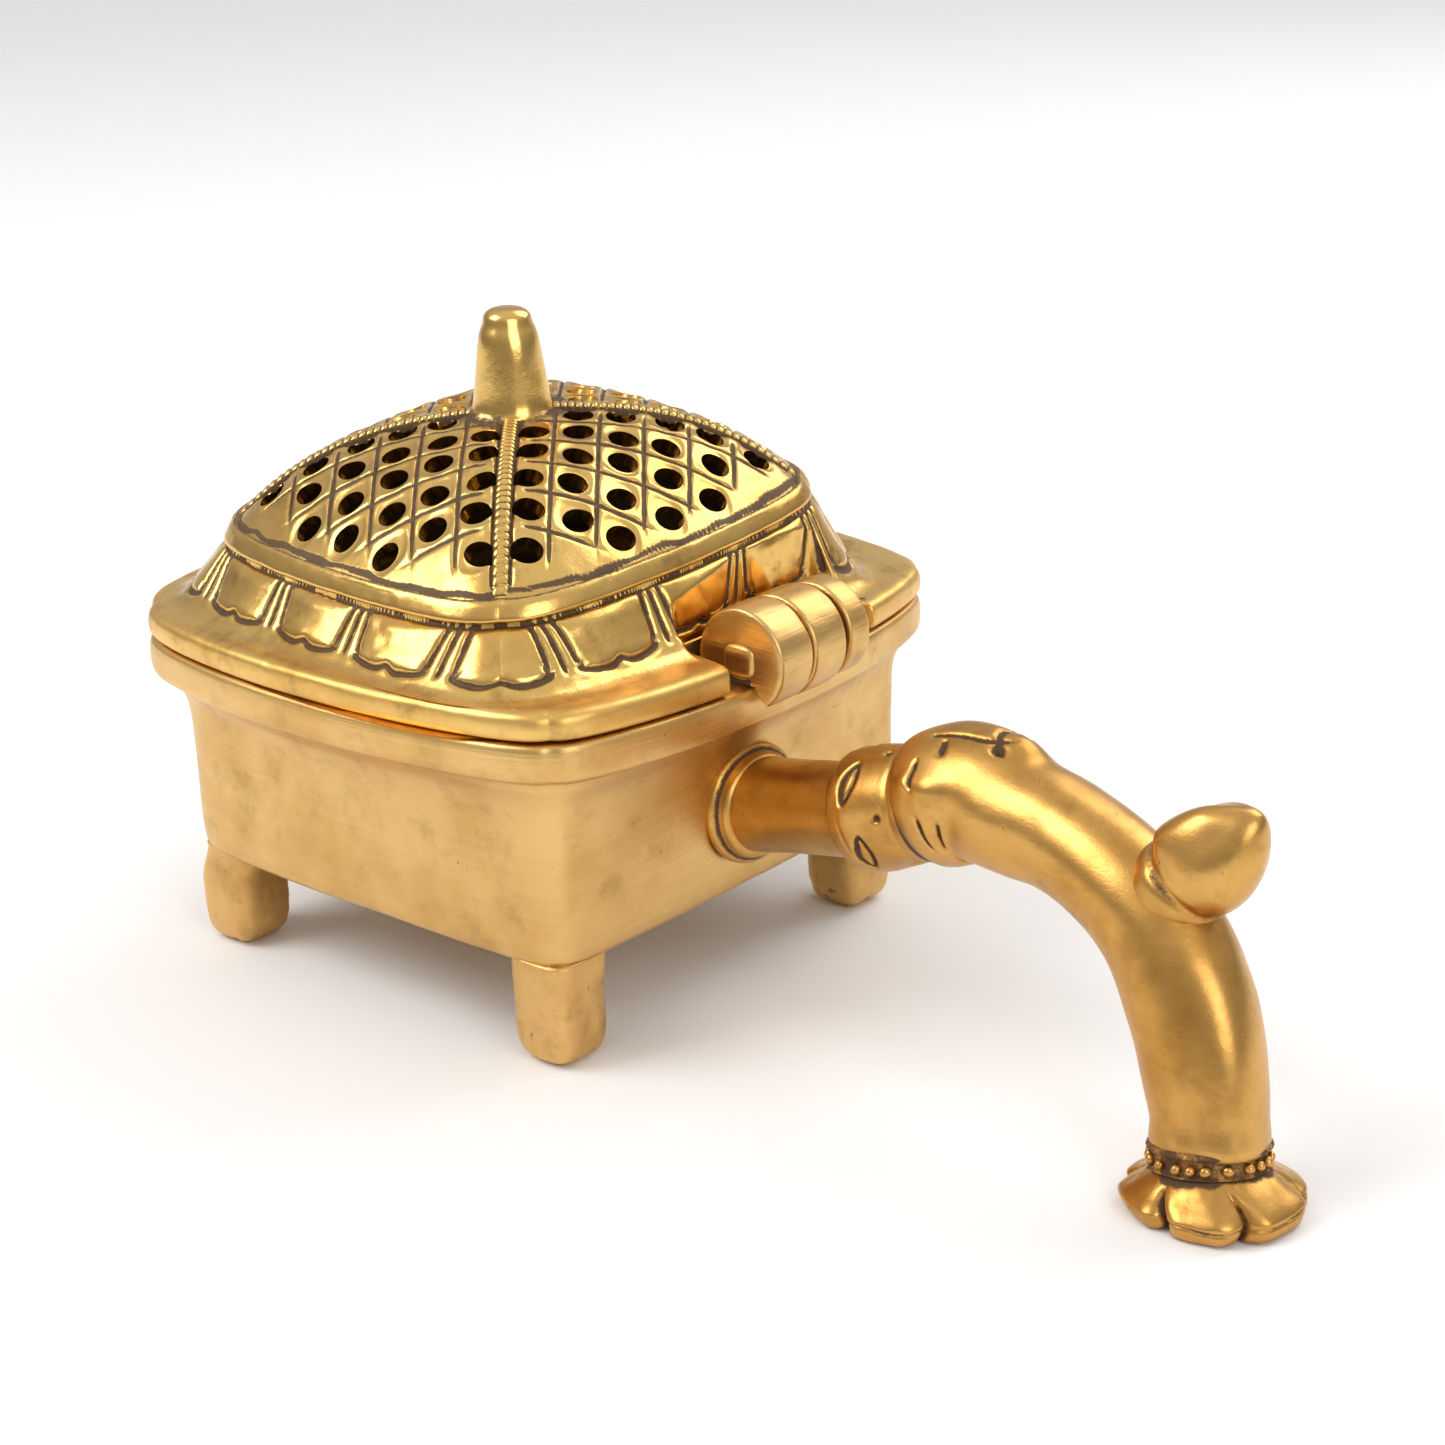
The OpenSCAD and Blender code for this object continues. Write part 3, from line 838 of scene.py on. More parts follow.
    def hole_cutter(self) -> bpy.types.Object:
        """All the drills as one closed mesh, each leaning out a little more than the one above it."""
        nothing_selected()
        bpy.ops.mesh.primitive_cylinder_add(vertices=28, radius=self.hole_r * MM, depth=16 * MM)
        drill = bpy.context.object
        drills = []
        for k, (p, q) in enumerate(self.cells()):
            x, y = (p + q) / 2**0.5, (p - q) / 2**0.5
            ring = float(self.ring_of(np.array(x), np.array(y)))
            z = float(self.dome_height(np.array(ring)))
            lean = radians(12 + 0.9 * ring)
            side = round(atan2(y, x) / (pi / 2)) * pi / 2
            wander = 0.42 * np.array([sin(k * 2.3), cos(k * 3.7)])
            copy = drill.copy()
            copy.data = drill.data.copy()
            bpy.context.collection.objects.link(copy)
            size = 1 + 0.08 * sin(k * 5.1)
            turn = Matrix.Rotation(side - radians(self.turn), 4, "Z") @ Matrix.Rotation(lean, 4, "Y")
            seat = self.seated(np.array(x + wander[0]), np.array(y + wander[1]), np.array(z - 1))
            place = Matrix.Translation(Vector(seat) * MM + BASE)
            copy.matrix_world = place @ turn @ Matrix.Diagonal((size, 1 / size, 1, 1))
            drills.append(copy)
        bpy.data.objects.remove(drill)
        return joined("drills", drills)

    # -- skirt --

    def strokes(self, along: Grid, up: Grid, points: Grid) -> tuple[Grid, Grid]:
        """The skirt's engraving.

        Args:
            along: Distance along the side from its middle.
            up: Height above the flange's top.
            points: Places, for the hand's wander.

        Returns:
            Depth of the cut from 0 to 1, and how far the petals swell from 0 to 1.
        """
        wander = 0.35 * noise(points, 7, 21)
        pitch = 19.0
        off = (along + wander + pitch) % pitch - pitch / 2
        cut = np.zeros_like(along)
        for k in (-1, 0, 1):
            line = off - k * 2.1 + 0.10 * k * (up - 7)
            foot = 3.0 + 0.9 * abs(k)
            cut = np.maximum(cut, bump(line, 0.42) * step(foot - 0.6, foot + 0.8, up) * step(11.5, 10.9, up))
        across = (pitch / 2 - np.abs(off)) / (pitch / 2 - 2.2)
        ogee = 2.3 + 1.1 * np.clip(np.abs(across), 0, 1.2) ** 3 + 0.75 * bump(across, 0.16)
        edge = bump(up - ogee + 0.3 * wander, 0.5) * step(1.12, 0.95, np.abs(across))
        sides = bump(np.abs(off) - 2.9, 0.42) * step(2.6, 3.4, up) * step(6.5, 3.5, up)
        cut = np.maximum(cut, np.maximum(edge, 0.8 * sides))
        swell = np.clip(1 - across**2, 0, 1) * step(1.8, 4.5, up) * step(11.5, 9.2, up)
        return cut * (1 + 0.25 * noise(points, 1.1, 22)), swell

    def notch(self, x: Grid, y: Grid, half: Grid) -> Grid:
        """Pulls the flange back round the hinge."""
        lug_low, lug_high = corners("hinge_lug_near")[0], corners("hinge_lug_far")[1]
        inside = step(lug_low.y - 5.2, lug_low.y - 2.8, y) * step(lug_high.y + 9.5, lug_high.y + 7, y)
        limit = 41.4 - 0.3 * (half < 43)
        return np.where((x > limit) & (half > 35), mix(x, np.minimum(x, limit), inside), x)

    def build_skirt(self) -> None:
        """Rolls the flange, the engraved skirt and the shoulder band as one closed ring."""
        t, half, bow = self.flange_t, self.rim_half, self.rim_bow
        profile = curve([
            (-t, 36.4, 5, 8), (-t, half - 1.2, bow, 2), (-t + 0.25, half - 0.45, bow, 2),
            (-t + 0.9, half, bow, 3), (-1.3, half - 0.05, bow, 3), (-0.35, half - 0.55, bow, 3),
            (0, half - 1.4, bow, 8), (0.1, 43.4, 4.7, 4), (0.8, 42, 4.4, 5), (2.2, 40.8, 4.4, 8),
            (4.4, 39.3, 4.5, 10), (7.4, 37.7, 4.6, 9), (10.6, 36.1, 4.7, 3), (11.3, 35.6, 4.7, 3),
            (11.7, 35.2, 4.7, 3), (12.5, 35.7, 4.7, 4), (13.8, 35.3, 4.65, 4), (14.9, 34.7, 4.6, 3),
            (15.25, 34.2, 4.6, 2), (14.8, 33.8, 4.6, 3), (13.4, 32.6, 4.4, 3), (11, 32.8, 4.4, 5),
            (5, 34.2, 4.6, 5), (-t + 0.8, 35.6, 4.9, 2), (-t, 36.4, 5, 1)])
        piece, u, (h, half_w, bows) = rolled("lid_skirt", self.skirt_columns, profile)
        phi = square_angle(u % 1)
        x0, y0 = self.outline.at(phi, half_w, bows)
        x1, y1 = self.flange_outline.at(phi, half_w, bows)
        outer = step(43.5, 44.5, half_w)[..., None]
        points = mix(self.seated(x0, y0, h), np.stack([x1, y1, h + self.top_z], axis=-1), outer)
        points[..., 0] = self.notch(points[..., 0], points[..., 1], half_w)
        side = np.floor(u % 1 * 4)
        along = np.where(side % 2 == 0, y0, x0)
        last_outside = np.argmax(profile[:, 0])
        outside = np.broadcast_to((np.arange(len(profile)) <= last_outside)[:, None], u.shape)
        on_skirt = outside & (half_w < 42)
        cut, swell = self.strokes(along, h, points)
        cut = cut * on_skirt
        groove = outside * bump(h - 11.55 + 0.12 * noise(points, 2.2, 23), 0.38) * on_skirt
        n = normals_of(points)
        skirt_row = 40
        n = n * np.sign(np.sum(n[skirt_row] * points[skirt_row] * [1, 1, 0], axis=-1).mean())
        shape = 0.45 * swell * on_skirt - 0.55 * np.clip(cut, 0, 1.2) - 0.35 * groove
        hammer = 0.10 * noise(points, 8, 24) + 0.05 * noise(points, 2.0, 25)
        shape = shape + outside * hammer * (h < 14.8) * (h > -1.2)
        points = points + n * shape[..., None]
        foot_line = 0.35 * bump(h - 0.5, 0.5) * (half_w < 43.2)
        seam = outside * (0.6 * bump(h - 15.3, 0.35) + 0.9 * groove + foot_line)
        patina_and_shade = np.clip(1.05 * cut + seam, 0, 1)
        satin = outside * step(42.2, 43.6, half_w)
        store(piece, points, {"patina_and_shade": patina_and_shade, "soot": 0.8 * (~outside), "satin": satin})
        mesh_cleaned(piece)
        self.shop.deliver(piece, Body.LID, Slot.POLISHED, angle=55)

    # -- ridges and finial --

    def build_ladders(self) -> None:
        """The four beaded strips that run down the dome's diagonal ridges."""
        strips = []
        for k in range(4):
            piece, u, v = grid_sheet("ladder", 12, 240)
            t = (u - 0.5) * 2
            reach = mix(6.2, 45.2, v)
            turn = pi / 4 + k * pi / 2
            off = t * 1.28
            x = reach * cos(turn) - off * sin(turn)
            y = reach * sin(turn) + off * cos(turn)
            ring = self.ring_of(x, y)
            plan = np.stack([x, y, 0 * x], axis=-1)
            rung = np.abs(np.sin(pi * (reach + 0.25 * noise(plan, 3, 31)) / 1.25)) ** 0.6
            z = self.dome_height(ring) + 0.22 + 0.42 * rung - 0.75 * t**4 - 0.08
            points = self.seated(x, y, z)
            patina_and_shade = np.clip(1.25 - 1.55 * rung, 0, 1) + step(0.75, 1, np.abs(t))
            store(piece, points, {"patina_and_shade": patina_and_shade})
            only(piece)
            bpy.ops.object.mode_set(mode="EDIT")
            bpy.ops.mesh.select_all(action="SELECT")
            bpy.ops.mesh.extrude_region_move(TRANSFORM_OT_translate={"value": (0, 0, -0.9 * MM)})
            bpy.ops.object.mode_set(mode="OBJECT")
            mesh_cleaned(piece, weld=False)
            strips.append(piece)
        self.shop.deliver(joined("lid_ladder_ridges", strips), Body.LID, Slot.POLISHED, angle=60)

    def build_finial(self) -> None:
        """A blunt, slightly uneven cone with a ragged brazed seam where it meets the crown."""
        high = corners("finial")[1].z
        base = self.top_z + self.crown - 2.2
        profile = curve([
            (base, 0.02, 2), (base, 6.2, 2), (base + 0.5, 7.3, 3), (base + 1.3, 7.25, 3),
            (base + 2.0, 6.75, 3), (base + 2.6, 6.45, 6), (base + 8, 5.6, 8), (base + 14, 4.7, 6),
            (high - 2.6, 4.05, 4), (high - 1.1, 3.6, 3), (high - 0.3, 2.6, 3), (high - 0.02, 1.2, 2),
            (high, 0.02, 1)])
        piece, u, (h, r) = rolled("lid_finial", 72, profile)
        a = 2 * pi * u
        low = step(base + 3.4, base + 0.6, h)
        around = np.stack([9 * np.cos(a), 9 * np.sin(a), h], axis=-1)
        ragged = low * (0.42 * noise(around, 2.0, 42) + 0.25 * noise(around, 0.9, 43))
        r = r + (r > 1) * (0.12 * noise(around, 6, 41) + ragged)
        lean = 0.045 * (h - base)
        x = r * np.cos(a) - 0.3 * lean
        y = r * np.sin(a) - self.shift - 0.3 * lean
        points = np.stack([x, y, np.minimum(h, high)], axis=-1)
        seam = step(base + 3.4, base + 1.4, h + 0.7 * noise(around, 1.6, 44))
        store(piece, points, {"patina_and_shade": 0.62 * seam})
        mesh_cleaned(piece)
        self.shop.deliver(piece, Body.LID, Slot.POLISHED, "finial", angle=60)


@dataclass
class Hinge:
    """The two lugs, the lid's knuckle between them and the peened pin, in millimetres.

    Attributes:
        shop: Takes the finished pieces.
        knuckle_r: Radius of the near lug and the lid's knuckle.
        rim_z: Height of the rim that the lugs stand on.
    """

    shop: Workshop
    knuckle_r: float = 8.2
    rim_z: float = 55.4

    def __post_init__(self) -> None:
        """Finds the pin's axis."""
        low, high = corners("hinge_pin")
        self.axis = (low + high) / 2

    def build(self) -> None:
        """Makes every piece of the hinge."""
        self.build_barrel("hinge_lug_near", self.knuckle_r, True, Body.BOX)
        self.build_barrel("hinge_lug_far", self.knuckle_r - 0.3, True, Body.BOX)
        self.build_barrel("lid_knuckle", self.knuckle_r, False, Body.LID)
        self.build_pin()

    def outline(self, a: Grid, r: float, on_rim: bool) -> Grid:
        """Reach of a knuckle from the pin in each direction.

        Args:
            a: Direction, from +X towards +Z.
            r: Radius of the round part.
            on_rim: True for a lug that stands on the rim, false for the lid's knuckle.
        """
        c, s = np.cos(a), np.sin(a)
        reach = np.full_like(a, r)
        if on_rim:
            down = self.axis.z - self.rim_z
            floor = np.where(s < 0, down / np.maximum(-s, 1e-6), 99)
            seat = 3
            return np.where((s < 0) & (floor * c < seat), np.minimum(r, floor), reach)
        web = np.where((c < 0), 9.0 / np.maximum(-c, 1e-6), 99)
        return np.where((c < 0) & (np.abs(web * s + 1.2) < 2.9), np.maximum(web, r), reach)

    def build_barrel(self, node: str, r: float, on_rim: bool, body: Body) -> None:
        """One knuckle, with softened edges and a lightly hammered skin."""
        low, high = corners(node)
        soft = 0.9
        profile = curve([
            (0, 0.02, 3), (0, 0.5, 4), (0, 0.86, 3), (0.12, 0.95, 3), (0.45, 0.99, 3), (soft, 1, 6),
            (high.y - low.y - soft, 1, 3), (high.y - low.y - 0.45, 0.99, 3),
            (high.y - low.y - 0.12, 0.95, 3), (high.y - low.y, 0.86, 4), (high.y - low.y, 0.5, 3),
            (high.y - low.y, 0.02, 1)])
        piece, u, (deep, share) = rolled(f"{node}_casting", 144, profile)
        a = 2 * pi * u
        reach = self.outline(a, r, on_rim) * share
        x, z = self.axis.x + reach * np.cos(a), self.axis.z + reach * np.sin(a)
        points = np.stack([x, low.y + deep, z], axis=-1)
        dent = 0.10 * noise(points, 4, 51) + 0.05 * noise(points, 1.4, 52)
        points = points - normals_of(points) * (np.minimum(dent, 0.05) * (share > 0.3))[..., None]
        points[..., 1] = np.clip(points[..., 1], low.y, high.y)
        crack = bump(np.hypot(points[..., 0] - self.axis.x, points[..., 2] - self.axis.z) - 3.35, 0.3)
        # Painted shadow: each lug's foot is darkened where it meets the rim, on the side towards the box.
        foot = 0.7 * step(self.rim_z + 1.6, self.rim_z + 0.2, points[..., 2])
        foot = foot * (points[..., 0] < self.axis.x + 2) * on_rim
        stain = 0.25 * step(0, 0.6, noise(points, 3, 53))
        store(piece, points, {"patina_and_shade": np.clip(0.9 * crack * (share < 0.8) + foot + stain, 0, 1)})
        mesh_cleaned(piece)
        self.shop.deliver(piece, body, Slot.SATIN, node, angle=55)

    def build_pin(self) -> None:
        """The pin, whose ends are hammered into rounded squares in a dark ring."""
        low, high = corners("hinge_pin")
        length = high.y - low.y
        profile = curve([
            (0.25, 0.02, 3), (0.25, 1.9, 3), (0.42, 2.45, 3), (0.8, 2.72, 3), (1.2, 2.8, 12),
            (length - 1.2, 2.8, 3), (length - 0.8, 2.72, 3), (length - 0.42, 2.45, 3),
            (length - 0.25, 1.9, 3), (length - 0.25, 0.02, 1)])
        piece, u, (deep, r) = rolled("hinge_pin_peened", 64, profile)
        x, z = Cushion(3.6, 3.6).at(square_angle(u % 1) + 0.12, r, 0.1 + 0 * r)
        points = np.stack([self.axis.x + x * 1.05, low.y + deep, self.axis.z + z * 0.9], axis=-1)
        points = points + (0.07 * noise(points, 1.6, 55) * (r > 1))[..., None] * np.array([0.3, 1, 0.3])
        ring = step(0.93, 1.0, r / 2.8) * (np.minimum(deep, length - deep) < 1.4)
        store(piece, points, {"patina_and_shade": 0.8 * ring})
        mesh_cleaned(piece)
        self.shop.deliver(piece, Body.BOX, Slot.SATIN, "hinge_pin", angle=60)


@dataclass
class Handle:
    """The root, neck, collar, knotted arm, thumb bud, ankle band and foot.

    Lengths are in millimetres and angles in degrees.

    Attributes:
        shop: Takes the finished pieces.
        lean: How far the handle leans over, its top towards +Y.
        swing: How far the handle swings round towards -Y.
        stud_z: Height of the stud's axis.
        neck_r: Radius of the neck.
        neck_tilt: How steeply the neck climbs.
        neck_len: Length of the neck.
        collar_tilt: How steeply the collar climbs.
        collar_len: Length of the collar.
        ankle: x and z of the ankle before the handle leans.
        ankle_tilt: Heading of the arm at the ankle; below 0 is downwards.
        knot_strokes: Distance along the arm, angle round it, half length and width of each stroke that is
            cut into the knot.
    """

    shop: Workshop
    lean: float = 8
    swing: float = 7
    stud_z: float = 32
    neck_r: float = 7.4
    neck_tilt: float = 12.7
    neck_len: float = 23
    collar_tilt: float = 21
    collar_len: float = 14.5
    ankle: tuple[float, float] = (139, 8.1)
    ankle_tilt: float = -80
    knot_strokes: tuple[tuple[float, ...], ...] = (
        (5.6, 118, 3.4, 0.36), (9.3, 122, 3.0, 0.4), (5.8, 66, 2.6, 0.3), (5.4, -100, 3.2, 0.36),
        (9.0, -110, 3.0, 0.4), (8.4, 40, 1.8, 0.34), (5.5, 180, 3.0, 0.36), (9.2, 176, 3.0, 0.4))

    def __post_init__(self) -> None:
        """Works out where the neck, collar and arm start."""
        self.root_x = corners("handle_root")[0].x
        self.neck = (self.root_x + 2.6, self.stud_z + 0.3)
        a, b = radians(self.neck_tilt), radians(self.collar_tilt)
        self.collar = (self.neck[0] + self.neck_len * cos(a), self.neck[1] + self.neck_len * sin(a))
        self.arm = (self.collar[0] + self.collar_len * cos(b), self.collar[1] + self.collar_len * sin(b))

    def build(self) -> None:
        """Makes every piece of the handle."""
        self.build_root()
        self.build_neck()
        self.build_collar()
        self.build_arm()
        self.build_bud()
        self.build_band()
        self.build_foot()
        for node in ("handle_stud", "handle_washer", "handle_nut"):
            self.shop.dress_node(node, Slot.STEEL)

    def leaned(self, points: Grid) -> Grid:
        """Leans points of the upright handle over, and swings them round, about the end of its root."""
        c, s = cos(radians(self.lean)), sin(radians(self.lean))
        x, y, z = points[..., 0] - self.root_x, points[..., 1], points[..., 2] - self.stud_z
        y, z = y * c + z * s, z * c - y * s
        c, s = cos(radians(self.swing)), sin(radians(self.swing))
        return np.stack([x * c + y * s + self.root_x, y * c - x * s, z + self.stud_z], axis=-1)

    def limb(self, name: str, path: Grid, columns: int,
             relief: Relief, ends: tuple[float, float] | None = None) -> bpy.types.Object:
        """Rolls a limb round a path in the XZ plane.

        Args:
            name: The piece's name.
            path: Rows of x, z and radius.
            columns: Points round the limb.
            relief: Takes the distance along, the angle from the top towards -Y, and the points, and
            returns how far the skin stands out and its patina, which also carries painted shade.
            ends: Headings at the two ends, in degrees, where they aren't the path's own.

        Returns:
            The closed piece.
        """
        centre = path[:, :2]
        run = np.gradient(centre, axis=0)
        still = np.linalg.norm(run, axis=1) < 1e-4
        heading = np.unwrap(np.arctan2(run[:, 1], run[:, 0]))
        good = np.nonzero(~still)[0]
        heading = np.interp(np.arange(len(path)), good, heading[good])
        if ends:
            heading[:3], heading[-3:] = radians(ends[0]), radians(ends[1])
        far = np.concatenate([[0], np.cumsum(np.linalg.norm(np.diff(centre, axis=0), axis=1))])
        piece, u, _ = grid_sheet(name, columns, len(path) - 1)
        a = 2 * pi * u
        r = path[:, 2][:, None] + 0 * u
        s = far[:, None] + 0 * u
        tilt = heading[:, None] + 0 * u
        flat = np.stack([centre[:, 0][:, None] + 0 * u, 0 * u, centre[:, 1][:, None] + 0 * u], axis=-1)
        out = np.stack([-np.cos(a) * np.sin(tilt), -np.sin(a), np.cos(a) * np.cos(tilt)], axis=-1)
        points = flat + out * r[..., None]
        proud, patina_and_shade = relief(s, np.degrees(a), points)
        points = points + out * (proud * (r > 2))[..., None]
        store(piece, self.leaned(points), {"patina_and_shade": np.clip(patina_and_shade, 0, 1)})
        mesh_cleaned(piece)
        return piece

    @staticmethod
    def turned(angle: Grid, middle: float) -> Grid:
        """Signed degrees from a middle angle."""
        return (angle - middle + 180) % 360 - 180

    def lathe_path(self, start: tuple[float, float], tilt: float, profile: list[tuple[float, ...]]) -> Grid:
        """A straight path whose profile is given as distance, radius and steps."""
        p = curve(profile)
        c, s = cos(radians(tilt)), sin(radians(tilt))
        return np.stack([start[0] + p[:, 0] * c, start[1] + p[:, 0] * s, p[:, 1]], axis=1)

    def build_root(self) -> None:
        """The ring that stands against the wall, a little askew, and the step in front of it."""
        r = self.neck_r
        path = self.lathe_path((self.root_x + 0.05, self.stud_z), 3.5, [
            (0, 0.02, 3), (0, r + 1.2, 2), (0.25, r + 2.1, 3), (0.9, r + 2.45, 3), (1.6, r + 2.2, 3),
            (2.1, r + 1.5, 3), (2.7, r + 1.15, 3), (3.4, r + 0.95, 3), (3.9, r + 0.3, 3), (4.0, r - 1, 2),
            (4.0, 0.02, 1)])

        def relief(s: Grid, angle: Grid, p: Grid) -> tuple[Grid, Grid]:
            """Soft waves, patina in the step, and painted shade at the back edge, in the gap against the
            box's wall.
            """
            return 0.12 * noise(p, 5, 61), 0.22 + 0.5 * bump(s - 2.35, 0.3) + 0.8 * bump(s, 0.6)

        self.shop.deliver(self.limb("handle_root_ring", path, 96, relief, (3.5, 3.5)), Body.BOX, Slot.HANDLE,
                          "handle_root", angle=60)

    def build_neck(self) -> None:
        """The plain neck."""
        r, n = self.neck_r, self.neck_len
        path = self.lathe_path(self.neck, self.neck_tilt, [
            (-1, 0.02, 2), (-1, r - 0.4, 2), (-0.4, r + 0.1, 3), (2.2, r + 0.15, 6), (n * 0.5, r - 0.1, 6),
            (n - 2, r, 4), (n + 1.5, r, 2), (n + 1.5, 0.02, 1)])

        def relief(s: Grid, angle: Grid, p: Grid) -> tuple[Grid, Grid]:
            """Filed flats, and patina where the neck meets its neighbours."""
            ends = 0.5 * bump(s - 1.4, 0.45) + 0.55 * bump(s - n - 0.9, 0.5)
            return 0.10 * noise(p, 8, 62) + 0.05 * noise(p, 3, 63), ends

        self.shop.deliver(self.limb("handle_neck_tube", path, 96, relief, (self.neck_tilt, self.neck_tilt)),
                          Body.BOX, Slot.HANDLE, "handle_neck", angle=60)

    def leaf(self, s: Grid, angle: Grid, at: float, middle: float, r: float) -> Grid:
        """A pointed oval outline cut round the collar, from 0 to 1."""
        round_mm = radians(1) * r * self.turned(angle, middle)
        long = np.clip((round_mm + 0.4) / 3.5, -1.15, 1.15)
        wide = 1.25 * np.clip(1 - np.abs(long) ** 1.7, 0, 1)
        slant = s - at + 0.22 * round_mm
        edge = np.abs(slant) - wide
        width = 0.34 + 0.22 * (slant < 0)
        return np.exp(-((edge / width) ** 2)) * step(1.12, 0.9, np.abs(long))

    def build_collar(self) -> None:
        """The collar, with leaf cuts round it and a few punched dots."""
        r, n = self.neck_r, self.collar_len
        path = self.lathe_path(self.collar, self.collar_tilt, [
            (0, 0.02, 2), (0, r + 0.5, 2), (0.15, r + 1.1, 3), (0.8, r + 1.75, 6), (3.4, r + 2.2, 22),
            (8.5, r + 1.9, 16), (n - 3, r + 1.5, 5), (n - 1.4, r + 1.25, 4), (n - 0.3, r + 1.3, 2),
            (n, r + 0.6, 2), (n, 0.02, 1)])

        def relief(s: Grid, angle: Grid, p: Grid) -> tuple[Grid, Grid]:
            """Leaf cuts, slanting creases and dots."""
            s = s + 0.12 * noise(p, 2.5, 64)
            cut = np.zeros_like(s)
            for middle in (62, 134, 206, 278, 350):
                cut = np.maximum(cut, self.leaf(s, angle, 5.4, middle, 9.6))
                dot = np.hypot(s - 10.6, radians(1) * 9.6 * self.turned(angle, middle + 35))
                cut = np.maximum(cut, bump(dot, 0.62))
            wave = 2.3 + 1.1 * np.sin(np.radians(angle - 30))
            back = 12.2 + 0.6 * np.cos(np.radians(angle - 60))
            crease = bump(s - wave, 0.22) * 0.55 + 0.6 * bump(s - back, 0.3)
            proud = -0.75 * cut - 0.3 * crease + 0.12 * noise(p, 4, 65)
            return proud, 1.15 * cut + 0.55 * crease + 0.75 * bump(s - n, 0.5) + 0.6 * bump(s, 0.4)

        collar = self.limb("handle_collar_sleeve", path, 240, relief, (self.collar_tilt, self.collar_tilt))
        self.shop.deliver(collar, Body.BOX, Slot.HANDLE, "handle_collar", angle=60)

    def build_arm(self) -> None:
        """The arm: its engraved knot, the arch and the leg down to the ankle."""
        x, z = self.arm
        path = curve([
            (x - 0.2, z - 0.1, 0.02, 2), (x - 0.2, z - 0.1, 8.4, 2), (x + 0.1, z, 9.3, 4),
            (x + 1.2, z + 0.6, 10.1, 10), (x + 4.5, z + 2.2, 10.4, 18), (x + 9, z + 3.3, 10.0, 18),
            (101, 44.8, 9.0, 16), (106.5, 44.4, 8.5, 8), (112, 43.2, 8.4, 8), (117, 41.5, 8.5, 8),
            (121.8, 39.2, 8.7, 8), (126.3, 35.8, 8.8, 8), (130.5, 30.8, 8.9, 8), (134.2, 24.6, 8.9, 8),
            (136.6, 18.6, 8.7, 8), (138.3, 12.6, 8.2, 6), (self.ankle[0], self.ankle[1], 7.9, 2),
            (self.ankle[0] + 0.01, self.ankle[1] - 0.02, 0.02, 1)])

        def relief(s: Grid, angle: Grid, p: Grid) -> tuple[Grid, Grid]:
            """Knot strokes, its top lump and hammered faces, then the arm's long soft planes."""
            top = self.turned(angle, 0)
            round_mm = radians(1) * 10.4 * top
            cut = np.zeros_like(s)
            wander = 0.25 * noise(p, 2.6, 71)
            for at, middle, half_len, width in self.knot_strokes:
                t = radians(1) * 10.4 * self.turned(angle, middle) / half_len
                cut = np.maximum(cut, bump(s - at + wander - 0.1 * t, width) * step(1.1, 0.5, np.abs(t)))
            for side in (-1, 1):
                line = round_mm - side * (4.6 - 0.05 * (s - 7) ** 2) + wander
                cut = np.maximum(cut, bump(line, 0.42) * step(5.5, 7, s) * step(15.5, 13.5, s))
            arc = bump(s - 12.2 - 0.12 * round_mm**2 + wander, 0.42) * (np.abs(round_mm) < 4.6)
            cut = np.maximum(cut, arc)
            pit = bump(np.hypot(s - 13.9, round_mm - 4.2), 1.0)
            lump = 1.5 * bump(np.hypot((s - 15.2) / 1.15, round_mm / 1.3), 3.0)
            lump = lump + 0.5 * bump(np.hypot(s - 9.2, round_mm), 3.4)
            faces = 0.8 * bump(np.hypot(s - 8.2, radians(1) * 10.4 * self.turned(angle, 78)), 2.6)
            faces = faces + 0.55 * bump(np.hypot(s - 4.4, radians(1) * 10.4 * self.turned(angle, 72)), 1.6)
            waist = -0.5 * bump(s - 11.5, 2.5) * bump(self.turned(angle, 105), 40)
            long = 0.20 * noise(p, 12, 72) + 0.10 * noise(p, 5, 73)
            edge_line = bump(self.turned(angle, 28), 26) - 0.5 * bump(self.turned(angle, 70), 30)
            shin = 0.75 * step(48, 60, s) * edge_line
            knee = -0.5 * bump(s - 48, 7) * bump(self.turned(angle, 95), 45)
            proud = long + lump + faces + waist + shin + knee - 0.7 * cut - 0.9 * pit
            edge = 0.75 * bump(s - 0.6, 0.7) + 0.7 * step(s.max() - 1.8, s.max() - 0.6, s)
            return proud, 1.1 * cut + 1.2 * pit + edge

        arm = self.limb("handle_arm_casting", path, 200, relief)
        self.shop.deliver(arm, Body.BOX, Slot.HANDLE, "handle_arm", angle=60)

    def build_bud(self) -> None:
        """The thumb bud: a drop with a soft keel, on a creased neck."""
        path = self.lathe_path((125.8, 39.6), 49, [
            (0, 0.02, 2), (0, 6.0, 3), (3, 7.0, 3), (5.4, 7.1, 4), (6.9, 6.75, 4), (8.2, 7.15, 5),
            (10.4, 7.3, 6), (13.4, 6.8, 6), (16.4, 5.6, 6), (19, 3.9, 5), (20.8, 2.1, 4), (21.5, 1.0, 3),
            (21.8, 0.02, 1)])

        def relief(s: Grid, angle: Grid, p: Grid) -> tuple[Grid, Grid]:
            """A keel towards the viewer's side and the other side, and a flat between them."""
            body = step(7, 10, s) * step(21.8, 17, s)
            keel = 0.7 * bump(self.turned(angle, 40), 26) + 0.5 * bump(self.turned(angle, -40), 26)
            flat = -0.45 * bump(self.turned(angle, 90), 34) - 0.35 * bump(self.turned(angle, 0), 24)
            proud = body * 1.3 * (keel + flat) + 0.12 * noise(p, 5, 81) - 0.35 * bump(s - 7, 0.7)
            return proud, 0.75 * bump(s - 6.8, 0.8) * (0.6 + 0.4 * noise(p, 3, 82))

        self.shop.deliver(self.limb("thumb_bud_casting", path, 96, relief, (49, 49)), Body.BOX, Slot.HANDLE,
                          "thumb_bud", angle=60)

